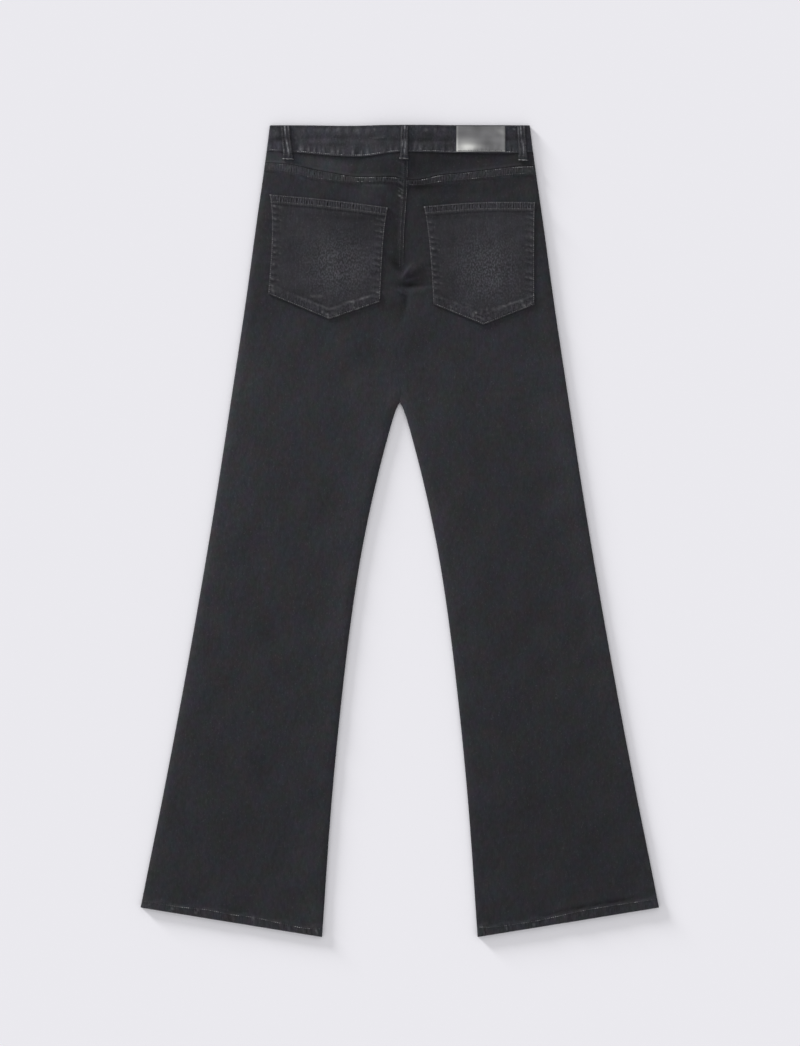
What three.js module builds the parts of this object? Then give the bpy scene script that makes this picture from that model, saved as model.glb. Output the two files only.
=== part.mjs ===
// Flared jeans in black denim, laid flat on their front with the back up.
// Millimetres. X runs across the garment, +Y points to the waist, and z = 0 is the surface they lie on.
// A "drop" is a distance down the garment from the top edge of the back waistband.
// Left and right are the wearer's: the left leg is at -X.

import * as THREE from "three";
import { mergeVertices } from "three/addons/utils/BufferGeometryUtils.js";

const { lerp, smoothstep, degToRad } = THREE.MathUtils;

// Driving sizes of the garment
const garmentLength = 1100; // top of the waistband to the lowest point of the hem
const crotchDrop = 375;
const hemInner = { x: 105.5, drop: garmentLength };
const hemOuter = { x: 350.5, drop: 1060.7 };
const hemDepth = 11;
const seamGap = 0.3; // between pieces that are sewn together

// Thickness of the layers
const denim = 1.2;
const bandWall = 2; // the waistband is folded double
const hemRise = 1; // extra thickness of the turned-up hem
const fellRise = 0.9; // extra thickness of a felled seam
const fellWidth = { left: 11.4, right: 9.4 };
const seatFellWidth = 7;

// Heights: the front panels lie on the surface, and the back panels lie on the front
const frontCurl = 1.1; // how far the front's edges turn up to meet the back
const backEdge = frontCurl + denim + seamGap;
const edgeRound = 14; // width of the rounded edge of the back layer
const curlRound = 8;
const bandFold = 0.4; // space inside the waistband's side folds
const bandAir = 1.7; // how far the middle of the back waistband stands above its side folds

// Half outline of the laid garment at the side seam
const sideSeam = [
  { drop: 0, x: 175.2 },
  { drop: 48, x: 181.2 },
  { drop: 129, x: 193.2 },
  { drop: 237, x: 208.3 },
  { drop: 373, x: 228 },
  { drop: 509, x: 249 },
  { drop: 644, x: 272 },
  { drop: 780, x: 296.6 },
  { drop: 916, x: 322.4 },
  { drop: hemOuter.drop, x: hemOuter.x },
];

// Half of the gap between the legs, at the inseam
const inseam = [
  { drop: crotchDrop, x: 0 },
  { drop: 386, x: 5.6 },
  { drop: 400, x: 10.4 },
  { drop: 427, x: 18.2 },
  { drop: 468, x: 29 },
  { drop: 523, x: 41.8 },
  { drop: 590, x: 54.8 },
  { drop: 672, x: 67 },
  { drop: 780, x: 79.4 },
  { drop: 916, x: 92.4 },
  { drop: hemInner.drop, x: hemInner.x },
];

// The seam down the middle of the seat, which lies a little off centre
const seatSeam = [
  { drop: 30, x: 11.4 },
  { drop: 75, x: 11.2 },
  { drop: 107, x: 9.4 },
  { drop: 144, x: 6.8 },
  { drop: 184, x: 5.8 },
  { drop: 270, x: 3 },
  { drop: crotchDrop, x: 0 },
];

// The seam between yoke and leg, from side to side
const yokeSeam = [
  { x: -183, drop: 50 },
  { x: -142, drop: 53.4 },
  { x: -97, drop: 62 },
  { x: -64, drop: 69.4 },
  { x: -6, drop: 72.4 },
  { x: 16, drop: 74.6 },
  { x: 36, drop: 73.2 },
  { x: 68, drop: 68.2 },
  { x: 124, drop: 60.4 },
  { x: 154, drop: 56.6 },
  { x: 185, drop: 54.6 },
];

// The lower edge of the back waistband, from side to side
const bandEdge = [
  { x: -181, drop: 34.4 },
  { x: -143, drop: 36.8 },
  { x: -54, drop: 42.4 },
  { x: -2, drop: 36.6 },
  { x: 14, drop: 36.4 },
  { x: 77, drop: 37.4 },
  { x: 155, drop: 37.6 },
  { x: 181, drop: 35.6 },
];

// How far the middle of the back layer stands above its edges
const airUnder = [
  { drop: 0, high: 0.6 },
  { drop: 40, high: 0.8 },
  { drop: 75, high: 1.3 },
  { drop: 130, high: 2.3 },
  { drop: 250, high: 2.5 },
  { drop: crotchDrop, high: 2.3 },
  { drop: 640, high: 2.1 },
  { drop: 900, high: 1.8 },
  { drop: 1040, high: 1.3 },
  { drop: garmentLength, high: 1.1 },
];

// Largest creases of the back: middle, direction from +X in degrees, size along and across, height
const folds = [
  { x: -13, drop: 163, turn: 70, long: 62, wide: 22, high: -1.4 },
  { x: -34, drop: 190, turn: 50, long: 70, wide: 26, high: 0.9 },
  { x: 18, drop: 216, turn: 8, long: 52, wide: 17, high: -2.3 },
  { x: 20, drop: 196, turn: 42, long: 48, wide: 15, high: 1 },
  { x: 8, drop: 240, turn: 82, long: 40, wide: 13, high: -1.5 },
  { x: -24, drop: 232, turn: -28, long: 54, wide: 20, high: 0.8 },
  { x: 102, drop: 92, turn: -4, long: 96, wide: 18, high: -0.6 },
  { x: -60, drop: 330, turn: 20, long: 120, wide: 34, high: -0.7 },
  { x: 66, drop: 322, turn: -24, long: 110, wide: 32, high: -0.7 },
  { x: -128, drop: 480, turn: 78, long: 240, wide: 52, high: 0.5 },
  { x: 148, drop: 560, turn: -72, long: 260, wide: 56, high: 0.5 },
  { x: -176, drop: 700, turn: 14, long: 130, wide: 46, high: -0.6 },
  { x: 172, drop: 676, turn: -12, long: 140, wide: 44, high: -0.6 },
  { x: -226, drop: 900, turn: 76, long: 280, wide: 60, high: 0.5 },
  { x: 220, drop: 930, turn: -78, long: 260, wide: 58, high: 0.5 },
];

// Back pockets: corners and point of each patch pocket
const pockets = [
  {
    name: "pocket_back_left",
    top: [-177, 93.6, -15.8, 111.4],
    bottom: [-178.6, 228.6, -26.6, 239.6],
    point: [-95.6, 263.2],
    sag: -3,
  },
  {
    name: "pocket_back_right",
    top: [32, 110, 183.4, 104.4],
    bottom: [45.4, 242.8, 182.4, 243.4],
    point: [113.3, 270.6],
    sag: 2,
  },
];
const pocketHem = 11.5; // depth of the turned opening
const pocketTurn = { side: 9, low: 11.5 }; // width of the turned-in edges

// Belt loops: middle of the upper and lower end, and the thickness of a seam under the lower end
const loopWidth = 11;
const loopFoot = { width: 13.4, long: 7 }; // the tacked lower end is wider
const loopWall = 1.6;
const backLoops = [
  { name: "belt_loop_back_left", topX: -155, lowX: -150.6, low: 47, onSeam: 0 },
  { name: "belt_loop_back_centre", topX: 6, lowX: 6.4, low: 47, onSeam: fellRise },
  { name: "belt_loop_back_right", topX: 165, lowX: 167, low: 49.6, onSeam: 0 },
];
const frontLoops = [
  { name: "belt_loop_front_left", x: -112 },
  { name: "belt_loop_front_right", x: 112 },
];

// The plain patch on the back waistband
const patch = { left: 77.2, right: 143.6, top: 1, bottom: 36.2, wall: 1 };

// The front, which lies underneath
const frontDip = 16; // the front waistband's middle lies this much lower
const frontBandHeight = 37;
const lap = 16; // half the overlap of the waistband's ends
const button = { radius: 8.5, wall: 1.5, drop: 34.5, clear: 11.2, spread: 18.4 };
const fly = { width: 34, length: 112, zipWall: 0.8, zipWidth: 26, shieldWall: 0.9 };

// Upper edge of the front panel below the waistband, from the side seam inwards: the pocket scoop
const scoop = [
  { inward: 0, deep: 58 },
  { inward: 20, deep: 57 },
  { inward: 52, deep: 50 },
  { inward: 82, deep: 34 },
  { inward: 98, deep: 14 },
];
const flyLift = 3.7; // the back layer's rise over the fly
const bandLift = 3; // the back waistband's rise over the lapped ends
const scoopWidth = scoop[scoop.length - 1].inward;

const denimBlack = new THREE.MeshStandardMaterial({ color: 0x2f2f33, roughness: 0.9, metalness: 0 });
const patchGrey = new THREE.MeshStandardMaterial({ color: 0x77777a, roughness: 0.4, metalness: 0.35 });
const buttonMetal = new THREE.MeshStandardMaterial({ color: 0x8a8a8c, roughness: 0.35, metalness: 1 });
const zipTape = new THREE.MeshStandardMaterial({ color: 0x1c1c1f, roughness: 0.8, metalness: 0 });

// Smooth value of one column of a table at a place on another column.
function curveOf(table, from, to) {
  const at = table.map((row) => row[from]);
  const values = table.map((row) => row[to]);
  const curve = new THREE.CubicInterpolant(at, values, 1, new Float64Array(1));
  return (place) => curve.evaluate(place)[0];
}

const sideX = curveOf(sideSeam, "drop", "x");
const insideX = curveOf(inseam, "drop", "x");
const seatX = curveOf(seatSeam, "drop", "x");
const yokeDrop = curveOf(yokeSeam, "x", "drop");
const bandDrop = curveOf(bandEdge, "x", "drop");
const airHeight = curveOf(airUnder, "drop", "high");

// The straight lower edge of a leg.
function hemDrop(x) {
  const share = (Math.abs(x) - hemInner.x) / (hemOuter.x - hemInner.x);
  return lerp(hemInner.drop, hemOuter.drop, share);
}

// Distance in plan from the folded edge of the garment: side seam, inseam or crotch.
function edgeDistance(x, drop) {
  const fromSide = sideX(drop) - Math.abs(x);
  const fromInside =
    drop > crotchDrop ? Math.abs(x) - insideX(drop) : Math.hypot(x, crotchDrop - drop);
  return Math.max(0, Math.min(fromSide, fromInside));
}

// 0 at the edge and 1 inside it, along a quarter of an ellipse.
function rounded(distance, width) {
  const left = 1 - Math.min(1, distance / width);
  return Math.sqrt(1 - left * left);
}

function foldHeight(x, drop) {
  let high = 0;
  for (const fold of folds) {
    const turn = degToRad(fold.turn);
    const right = x - fold.x;
    const up = fold.drop - drop;
    const along = (right * Math.cos(turn) + up * Math.sin(turn)) / (fold.long / 2);
    const across = (up * Math.cos(turn) - right * Math.sin(turn)) / (fold.wide / 2);
    high += fold.high * Math.exp(-along * along - across * across);
  }
  return high;
}

// 1 over the button and the fly, and 0 away from them: the back layer rides over that stack.
function overFly(x, drop) {
  const aside = x < 0 ? smoothstep(-x, 20, 58) : smoothstep(x, 24, 78);
  return (1 - aside) * (1 - smoothstep(drop, 40, 140));
}

// Lower and upper face of the back layer.
function backUnder(x, drop) {
  const distance = edgeDistance(x, drop);
  const air = airHeight(drop) * rounded(distance, edgeRound);
  return backEdge + air + flyLift * overFly(x, drop) + foldHeight(x, drop) * rounded(distance, 40);
}

function backOver(x, drop) {
  return backUnder(x, drop) + denim;
}

function yokeFell(side) {
  return side < 0 ? fellWidth.left : fellWidth.right;
}

// Extra thickness of the felled seams and the hem on the back legs.
function seamRise(x, drop, side) {
  const belowYoke = drop - yokeDrop(x);
  const felled = fellRise * (belowYoke < yokeFell(side) + 0.1 ? 1 : 0);
  const besideSeat = side < 0 && drop < crotchDrop ? seatX(drop) - x : Infinity;
  const seat = besideSeat < seatFellWidth + 0.1 ? lerp(fellRise, 0.4, smoothstep(drop, 200, 300)) : 0;
  return Math.max(felled, seat, hemThickening(x, drop));
}

function hemThickening(x, drop) {
  return hemDrop(x) - drop < hemDepth + 0.1 ? hemRise : 0;
}

// Lower face of the front layer: flat, but for its turned-up edges and what lies under it.
function frontUnder(x, drop) {
  const curl = frontCurl * (1 - rounded(edgeDistance(x, drop), curlRound));
  const toHem = smoothstep(hemDrop(x) - drop, hemDepth, hemDepth + 20);
  const bandLow = frontTop(x) + frontBandHeight;
  let lift = 0;
  for (const loop of frontLoops) {
    const beside = 1 - smoothstep(Math.abs(x - loop.x), 9, 20);
    const below = 1 - smoothstep(drop, bandLow + 16, bandLow + 36);
    lift = Math.max(lift, (1 + seamGap) * beside * below);
  }
  const beyond = (offset) => smoothstep(Math.abs(offset), button.clear, button.spread);
  const overButton = (1 - beyond(x)) * (1 - beyond(drop - button.drop));
  return Math.max(curl * toHem, lift, (button.wall + seamGap) * overButton);
}

// Top edge of the front waistband.
function frontTop(x) {
  const share = Math.min(1, Math.abs(x) / sideX(0));
  return frontDip * (1 - share * share);
}

// Lower edge of the front waistband, which meets the back one at the sides.
function frontBandDrop(x) {
  const share = Math.min(1, Math.abs(x) / sideX(0));
  return lerp(frontTop(x) + frontBandHeight, bandDrop(x), share ** 6);
}

// Straight from one row of the scoop's table to the next.
function scoopDepth(inward) {
  const after = scoop.findIndex((row) => row.inward >= inward);
  if (after < 1) return after < 0 ? 0 : scoop[0].deep;
  const [a, b] = [scoop[after - 1], scoop[after]];
  return lerp(a.deep, b.deep, (inward - a.inward) / (b.inward - a.inward));
}

function frontPanelTop(x) {
  const top = frontBandDrop(x);
  let drop = top;
  for (let pass = 0; pass < 5; pass++) drop = top + scoopDepth(sideX(drop) - Math.abs(x));
  return drop;
}

// Numbers from a to b in equal steps, without a.
function steps(a, b, count) {
  return Array.from({ length: count }, (_, k) => lerp(a, b, (k + 1) / count));
}

// A closed wall over a grid. point(column, row, upper) gives its two faces.
function wall(name, material, columns, rows, point) {
  const geometry = new THREE.BoxGeometry(columns, rows, 1, columns, rows, 1);
  geometry.deleteAttribute("normal");
  geometry.deleteAttribute("uv");
  const position = geometry.getAttribute("position");
  for (let k = 0; k < position.count; k++) {
    const column = Math.round(position.getX(k) + columns / 2);
    const row = Math.round(rows / 2 - position.getY(k));
    const [x, drop, z] = point(column, row, position.getZ(k) > 0);
    position.setXYZ(k, x, garmentLength / 2 - drop, z);
  }
  const closed = mergeVertices(geometry);
  closed.computeVertexNormals();
  const mesh = new THREE.Mesh(closed, material);
  mesh.name = name;
  return mesh;
}

// A wall whose plan is given by the two side edges and by the drops of its rows at each x.
function panel(name, material, plan, under, over) {
  const columns = plan.offsets(100).length - 1;
  const rows = plan.rowDrops(0).length - 1;
  return wall(name, material, columns, rows, (column, row, upper) => {
    let drop = plan.rowDrops(0)[row];
    let x = 0;
    for (let pass = 0; pass < 4; pass++) {
      const left = plan.left(drop);
      x = left + plan.offsets(plan.right(drop) - left)[column];
      drop = plan.rowDrops(x)[row];
    }
    return [x, drop, upper ? over(x, drop) : under(x, drop)];
  });
}

// Outline of one half: side -1 is the left leg and +1 the right.
function halfPlan(side, centre) {
  const inner = (drop) =>
    drop > crotchDrop ? side * Math.max(insideX(drop), seamGap / 2) : centre(drop) + (side * seamGap) / 2;
  const outer = (drop) => side * sideX(drop);
  return side < 0 ? { left: outer, right: inner } : { left: inner, right: outer };
}

// Columns given from the outer and from the inner edge, with equal ones between.
function columnOffsets(side, fromOuter, fromInner, between) {
  return (width) => {
    const a = fromOuter[fromOuter.length - 1];
    const b = width - fromInner[fromInner.length - 1];
    const mirrored = [...fromInner].reverse().map((offset) => width - offset);
    const all = [...fromOuter, ...steps(a, b, between).slice(0, -1), ...mirrored];
    return side < 0 ? all : all.map((offset) => width - offset).reverse();
  };
}

// Yoke and leg share these, so that their seam has the same points on both sides.
function backColumns(side) {
  return columnOffsets(side, [0, 2, 6, edgeRound], [0, 2, seatFellWidth, seatFellWidth + 1.5, 16, 26, 38], 7);
}

function backLeg(name, side) {
  const plan = halfPlan(side, seatX);
  plan.offsets = backColumns(side);
  plan.rowDrops = (x) => {
    const top = yokeDrop(x) + seamGap / 2;
    const low = hemDrop(x);
    const fell = top + yokeFell(side);
    const seat = [...steps(fell + 1.5, 146, 3), ...steps(146, 256, 11)];
    const leg = steps(crotchDrop, low - hemDepth - 2, 20);
    const hem = [low - hemDepth, low];
    return [top, fell, fell + 1.5, ...seat, ...steps(256, crotchDrop, 5), ...leg, ...hem];
  };
  return panel(name, denimBlack, plan, backUnder, (x, drop) => backOver(x, drop) + seamRise(x, drop, side));
}

function yoke(name, side) {
  const plan = halfPlan(side, seatX);
  plan.offsets = backColumns(side);
  plan.rowDrops = (x) => {
    const top = bandDrop(x) + seamGap;
    const low = yokeDrop(x) - seamGap / 2;
    return [top, ...steps(top, low, 3)];
  };
  const over = (x, drop) => {
    const besideSeat = side < 0 ? seatX(drop) - x : Infinity;
    return backOver(x, drop) + (besideSeat < seatFellWidth + 0.1 ? fellRise : 0);
  };
  return panel(name, denimBlack, plan, backUnder, over);
}

function frontLeg(name, side) {
  const plan = halfPlan(side, () => 0);
  plan.offsets = columnOffsets(side, [0, 2, 6, 20, 52, 82, scoopWidth, scoopWidth + 0.6], [0, 16, 34], 5);
  plan.rowDrops = (x) => {
    const top = frontPanelTop(x) + seamGap;
    const low = hemDrop(x);
    const leg = [...steps(top, crotchDrop, 9), ...steps(crotchDrop, low - hemDepth - 2, 16)];
    return [top, ...leg, low - hemDepth, low];
  };
  const over = (x, drop) => frontUnder(x, drop) + denim + hemThickening(x, drop);
  return panel(name, denimBlack, plan, frontUnder, over);
}

// Fills the scooped front pocket opening, edge to edge with the front panel.
function pocketFacing(name, side) {
  const wide = scoopWidth - 0.4;
  const outer = (drop) => side * sideX(drop);
  const inner = (drop) => side * (sideX(drop) - wide);
  const plan = side < 0 ? { left: outer, right: inner } : { left: inner, right: outer };
  plan.offsets = columnOffsets(side, [0, 2, 6, 20, 52, 61], [0, wide - 82, wide - 79], 1);
  plan.rowDrops = (x) => {
    const top = frontBandDrop(x) + seamGap;
    return [top, ...steps(top, frontPanelTop(x) - seamGap, 4)];
  };
  return panel(name, denimBlack, plan, frontUnder, (x, drop) => frontUnder(x, drop) + denim);
}

// A patch pocket sewn on the back leg, with its turned edges standing thicker.
function backPocket(pocket) {
  const [topLeftX, topLeft, topRightX, topRight] = pocket.top;
  const [lowLeftX, lowLeft, lowRightX, lowRight] = pocket.bottom;
  const [pointX, pointDrop] = pocket.point;
  const width = topRightX - topLeftX;
  const depth = pointDrop - Math.min(topLeft, topRight);
  const pointShare = (pointX - lowLeftX) / (lowRightX - lowLeftX);
  const across = [0, pocketTurn.side, pocketTurn.side + 1.5].map((mm) => mm / width);
  const half = [...across, ...steps(across[2], pointShare, 4)];
  const shares = [...half, ...steps(pointShare, 1 - across[2], 4), 1 - across[1], 1];
  const turned = [pocketHem / depth, (pocketHem + 1.5) / depth];
  const low = [1 - (pocketTurn.low + 1.5) / depth, 1 - pocketTurn.low / depth];
  const levels = [0, ...turned, ...steps(turned[1], low[0], 8), low[1], 1];
  const lowest = (share) =>
    share < pointShare
      ? lerp(lowLeft, pointDrop, share / pointShare)
      : lerp(pointDrop, lowRight, (share - pointShare) / (1 - pointShare));
  const highest = (share) => lerp(topLeft, topRight, share) + pocket.sag * Math.sin(Math.PI * share);
  return wall(pocket.name, denimBlack, shares.length - 1, levels.length - 1, (column, row, upper) => {
    const share = shares[column];
    const level = levels[row];
    const x = lerp(lerp(topLeftX, topRightX, share), lerp(lowLeftX, lowRightX, share), level);
    const drop = lerp(highest(share), lowest(share), level);
    const under = backOver(x, drop) + seamGap;
    if (!upper) return [x, drop, under];
    const inOpening = level <= turned[0];
    const inTurn = level >= low[1] || share <= across[1] || share >= 1 - across[1];
    return [x, drop, under + denim + (inOpening ? 0.9 : inTurn ? 0.6 : 0)];
  });
}

// Faces of the back half of the waistband, away from its side folds.
function bandInner(x, drop) {
  const share = Math.min(1, Math.abs(x) / sideX(drop));
  const crease = -0.3 * Math.exp(-(((drop - 17) / 5) ** 2)) * (1 - share ** 6);
  return bandWall + bandFold + bandAir * (1 - share ** 4) + bandLift * overFly(x, drop) + crease;
}

function bandOuter(x, drop) {
  return bandInner(x, drop) + bandWall;
}

// The waistband is one strip: from the left end of the front, round the left side, across the
// back, round the right side and back to the front, where the left end laps over the right.
function waistband() {
  const folded = 2 * bandWall + bandFold;
  const foldSteps = 6;
  const frontSpots = [-lap, -10, 0, 10, lap, 18.4, 38, 62, 89, 103, 121, 140, 160, Infinity];
  const backSpots = steps(-1, 1, 26).slice(0, -1);
  const stations = [
    ...frontSpots.map((spot) => ({ part: "left", spot })),
    ...steps(0, 1, foldSteps).slice(0, -1).map((share) => ({ part: "fold", side: -1, share })),
    ...[-1, ...backSpots, 1].map((share) => ({ part: "back", share })),
    ...steps(0, 1, foldSteps).slice(0, -1).map((share) => ({ part: "fold", side: 1, share: 1 - share })),
    ...[...frontSpots].reverse().map((spot) => ({ part: "right", spot })),
  ];
  const rows = 5;
  return wall("waistband", denimBlack, stations.length - 1, rows, (column, row, outside) => {
    const { part, side, share, spot } = stations[column];
    const level = row / rows;
    const sideways = sideX(level * bandDrop(180)) - folded / 2; // where the straight part ends
    if (part === "fold") {
      const angle = Math.PI * (share - 0.5); // from the front, below, to the back
      const radius = outside ? folded / 2 : bandFold / 2;
      const x = side * (sideways + radius * Math.cos(angle));
      return [x, level * bandDrop(side * sideways), folded / 2 + radius * Math.sin(angle)];
    }
    if (part === "back") {
      const x = share * sideways;
      const drop = level * bandDrop(x);
      return [x, drop, outside ? bandOuter(x, drop) : bandInner(x, drop)];
    }
    const hand = part === "left" ? -1 : 1;
    const x = hand * Math.min(spot, sideways);
    const drop = lerp(frontTop(x), frontBandDrop(x), level);
    const raised = part === "right" ? (bandWall + 2 * seamGap) * (1 - smoothstep(x, 20, 62)) : 0;
    const low = frontUnderBand(x, drop) + raised;
    return [x, drop, outside ? low : low + bandWall];
  });
}

// The front waistband has no curled edge: it runs on into the side folds.
function frontUnderBand(x, drop) {
  const nearFold = smoothstep(sideX(0) - Math.abs(x), curlRound, curlRound + 12);
  return frontUnder(x, drop) * nearFold;
}

// A belt loop over the back waistband, with its lower end down on the yoke.
function backLoop(loop) {
  const foot = loop.low - loopFoot.long;
  const drops = [1, 9, 18, 27, 34, foot - 1.5, foot + 0.5, foot + 3.5, loop.low];
  const edges = [-1, -0.6, 0.6, 1];
  return wall(loop.name, denimBlack, edges.length - 1, drops.length - 1, (column, row, upper) => {
    const drop = drops[row];
    const middle = lerp(loop.topX, loop.lowX, drop / loop.low);
    const wide = lerp(loopWidth, loopFoot.width, smoothstep(drop, foot - 1, foot + 3));
    const x = middle + (edges[column] * wide) / 2;
    const pastBand = drop - bandDrop(middle);
    const onYoke = backOver(x, drop) + loop.onSeam;
    const down = smoothstep(pastBand, 1, 5);
    const bed = pastBand < -1 ? bandOuter(x, drop) : Math.max(lerp(bandOuter(x, drop), onYoke, down), onYoke);
    const under = bed + seamGap;
    const soft = Math.abs(edges[column]) === 1 ? 0.5 : 0; // rounded long edges
    return [x, drop, upper ? under + loopWall - soft : under];
  });
}

function frontLoop(loop) {
  const top = frontTop(loop.x) + 1;
  const drops = [top, ...steps(top, top + frontBandHeight + 10, 4)];
  return wall(loop.name, denimBlack, 1, drops.length - 1, (column, row, upper) => [
    loop.x + (column - 0.5) * loopWidth,
    drops[row],
    upper ? 1 : 0,
  ]);
}

// The patch lies on the waistband, made from its outer points.
function waistPatch() {
  const xs = [patch.left, ...steps(patch.left, patch.right, 8)];
  const drops = [patch.top, ...steps(patch.top, patch.bottom, 4)];
  return wall("waist_patch", patchGrey, xs.length - 1, drops.length - 1, (column, row, upper) => {
    const x = xs[column];
    const drop = drops[row];
    return [x, drop, bandOuter(x, drop) + seamGap + (upper ? patch.wall : 0)];
  });
}

// A strip inside the front opening; base is the thickness that lies under it.
function flyStrip(name, material, left, right, long, base, thick) {
  const xs = [left, ...steps(left, right, 4)];
  const top = frontTop(0) + frontBandHeight + 1;
  const drops = [top, ...steps(top, top + long, 8)];
  return wall(name, material, xs.length - 1, drops.length - 1, (column, row, upper) => {
    const x = xs[column];
    const drop = drops[row];
    return [x, drop, frontUnder(x, drop) + base + (upper ? thick : 0)];
  });
}

// A jeans button, lying face down under the waistband.
function frontButton() {
  const { radius, wall: thick } = button;
  const profile = [
    [0, 0],
    [radius - 1.4, 0],
    [radius - 0.4, 0.3],
    [radius, 0.8],
    [radius - 0.4, thick - 0.2],
    [radius - 1, thick],
    [0, thick],
  ].map(([r, z]) => new THREE.Vector2(r, z));
  const mesh = new THREE.Mesh(new THREE.LatheGeometry(profile, 20), buttonMetal);
  mesh.name = "front_button";
  mesh.rotation.x = Math.PI / 2;
  mesh.position.set(0, garmentLength / 2 - button.drop, 0);
  return mesh;
}

const zipBase = denim + seamGap;
const shieldBase = zipBase + fly.zipWall + seamGap;

const jeans = new THREE.Group();
jeans.add(
  backLeg("leg_back_left", -1),
  backLeg("leg_back_right", 1),
  yoke("yoke_left", -1),
  yoke("yoke_right", 1),
  ...pockets.map(backPocket),
  frontLeg("leg_front_left", -1),
  frontLeg("leg_front_right", 1),
  pocketFacing("pocket_facing_left", -1),
  pocketFacing("pocket_facing_right", 1),
  waistband(),
  ...backLoops.map(backLoop),
  ...frontLoops.map(frontLoop),
  waistPatch(),
  flyStrip("fly_zip", zipTape, -fly.zipWidth / 2, fly.zipWidth / 2, fly.length - 4, zipBase, fly.zipWall),
  flyStrip("fly_shield", denimBlack, -fly.width / 2, fly.width / 2, fly.length, shieldBase, fly.shieldWall),
  frontButton(),
);

export default jeans;
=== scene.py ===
import math

import bpy
import numpy as np
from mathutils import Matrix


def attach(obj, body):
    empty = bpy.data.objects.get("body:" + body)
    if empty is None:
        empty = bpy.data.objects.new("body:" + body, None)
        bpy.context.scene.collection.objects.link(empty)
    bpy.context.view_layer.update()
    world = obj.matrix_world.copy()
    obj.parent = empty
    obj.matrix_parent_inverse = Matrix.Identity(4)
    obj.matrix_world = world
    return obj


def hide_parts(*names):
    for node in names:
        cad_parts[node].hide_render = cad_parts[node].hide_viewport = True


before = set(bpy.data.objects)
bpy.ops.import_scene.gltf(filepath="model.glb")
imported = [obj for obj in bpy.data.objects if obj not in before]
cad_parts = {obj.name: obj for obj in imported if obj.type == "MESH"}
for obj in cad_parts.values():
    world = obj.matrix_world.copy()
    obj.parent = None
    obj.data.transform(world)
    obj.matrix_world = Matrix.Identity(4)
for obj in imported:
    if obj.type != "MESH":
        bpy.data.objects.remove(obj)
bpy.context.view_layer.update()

print("frame loaded")

# The cut of the jeans, in millimetres. x runs across, with the wearer's left at -x, and drop is
# the distance down from the top edge of the back waistband. They lie on their front at z = 0.
cut = {
    "length": 1100,
    "crotch": 375,  # its drop
    "hemInner": (105.5, 1100),  # x, drop
    "hemOuter": (351.3, 1060),
    "hemDepth": 11,  # of the front's turned hem
    "hemRise": 1,  # extra thickness of a turned hem
    "gap": 0.3,  # between pieces that are sewn together
    "seatGap": 0.08,
    "denim": 1.2,  # thickness
    "bandWall": 2,  # the waistband is double
    "fellRise": 0.9,  # extra thickness of a felled seam
    "seatFell": 7,  # width of the seat's fell
    "frontCurl": 1.1,  # how far the front's edges turn up to meet the back
    "curlRound": 8,
    "edgeRound": 14,  # width of the rounded edge of the back
    "bandFold": 0.4,  # space inside the waistband's side folds
    "bandAir": 1.7,  # how far the middle of the back waistband stands above them
    "flyLift": 3.7,  # how far the layers of the fly lift the back
    "bandLift": 3,  # and the waistband
    "frontDip": 16,  # how much lower the front waistband lies in its middle
    "frontBand": 37,
    "lap": 16,  # how far the lapped end of the waistband runs past the middle
}
sideSeam = [(0, 176.3), (48, 182.3), (129, 193.8), (237, 208.6), (373, 228.9), (509, 249.8),
            (644, 272.3), (780, 296.6), (916, 322.5), (1000, 339.4), (1060, 351.3)]  # drop, x
inseam = [(375, 0), (386, 5.4), (400, 10), (427, 17.6), (468, 28.2), (523, 40.9), (590, 53.9),
          (672, 66.3), (780, 79.2), (916, 92.4), (1100, 105.5)]  # drop, x
seatSeam = [(30, 11.4), (75, 11.2), (107, 9.4), (144, 6.8), (184, 5.8), (270, 3), (375, 0)]  # drop, x
yokeSeam = [(-183, 50.6), (-160, 51.6), (-145, 53.4), (-122, 58.6), (-97, 63.4), (-64, 68.8), (-6, 70.4),
            (16, 74.2), (34, 72), (52, 67.6), (84, 64.2), (124, 59.4), (154, 55.8), (185, 54.2)]  # x, drop
yokeFell = [(-183, 10.6), (-140, 12.8), (-100, 12), (-60, 8.6), (-4, 8), (18, 8.2), (46, 10.4),
            (89, 11), (129, 11.8), (185, 12)]  # x, width
hemBand = [(-347, 10.2), (-292, 11.2), (-262, 13), (-225, 12), (-200, 13), (-157, 10.8), (-130, 9.6),
           (-107, 12), (107, 14.6), (122, 12), (150, 10.6), (190, 10.6), (216, 12), (248, 14),
           (310, 14), (350, 13)]  # x, depth
bandEdge = [(-181, 34.4), (-143, 36.8), (-54, 42.4), (-2, 36.6), (14, 36.4), (77, 37.4),
            (155, 37.6), (181, 35.6)]  # x, drop
airUnder = [(0, 0.6), (40, 0.8), (75, 1.3), (130, 2.3), (250, 2.5), (375, 2.3), (640, 2.1),
            (900, 1.8), (1040, 1.3), (1100, 1.1)]  # drop, height
creases = [  # x, drop, turn in degrees, length, width, height
    (-13, 163, 70, 62, 22, -1.4),
    (-34, 190, 50, 70, 26, 0.9),
    (18, 216, 6, 52, 13, -2.4),
    (8, 200, 56, 22, 4.6, 0.9),
    (20, 196, 42, 48, 15, 1),
    (8, 240, 82, 40, 13, -1.5),
    (-24, 232, -28, 54, 20, 0.8),
    (102, 92, -4, 96, 18, -0.6),
    (-60, 330, 20, 120, 34, -0.7),
    (66, 322, -24, 110, 32, -0.7),
    (-128, 480, 78, 240, 52, 0.5),
    (148, 560, -72, 260, 56, 0.5),
    (-176, 700, 14, 130, 46, -0.6),
    (172, 676, -12, 140, 44, -0.6),
    (-226, 900, 76, 280, 60, 0.5),
    (220, 930, -78, 260, 58, 0.5),
]


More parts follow.
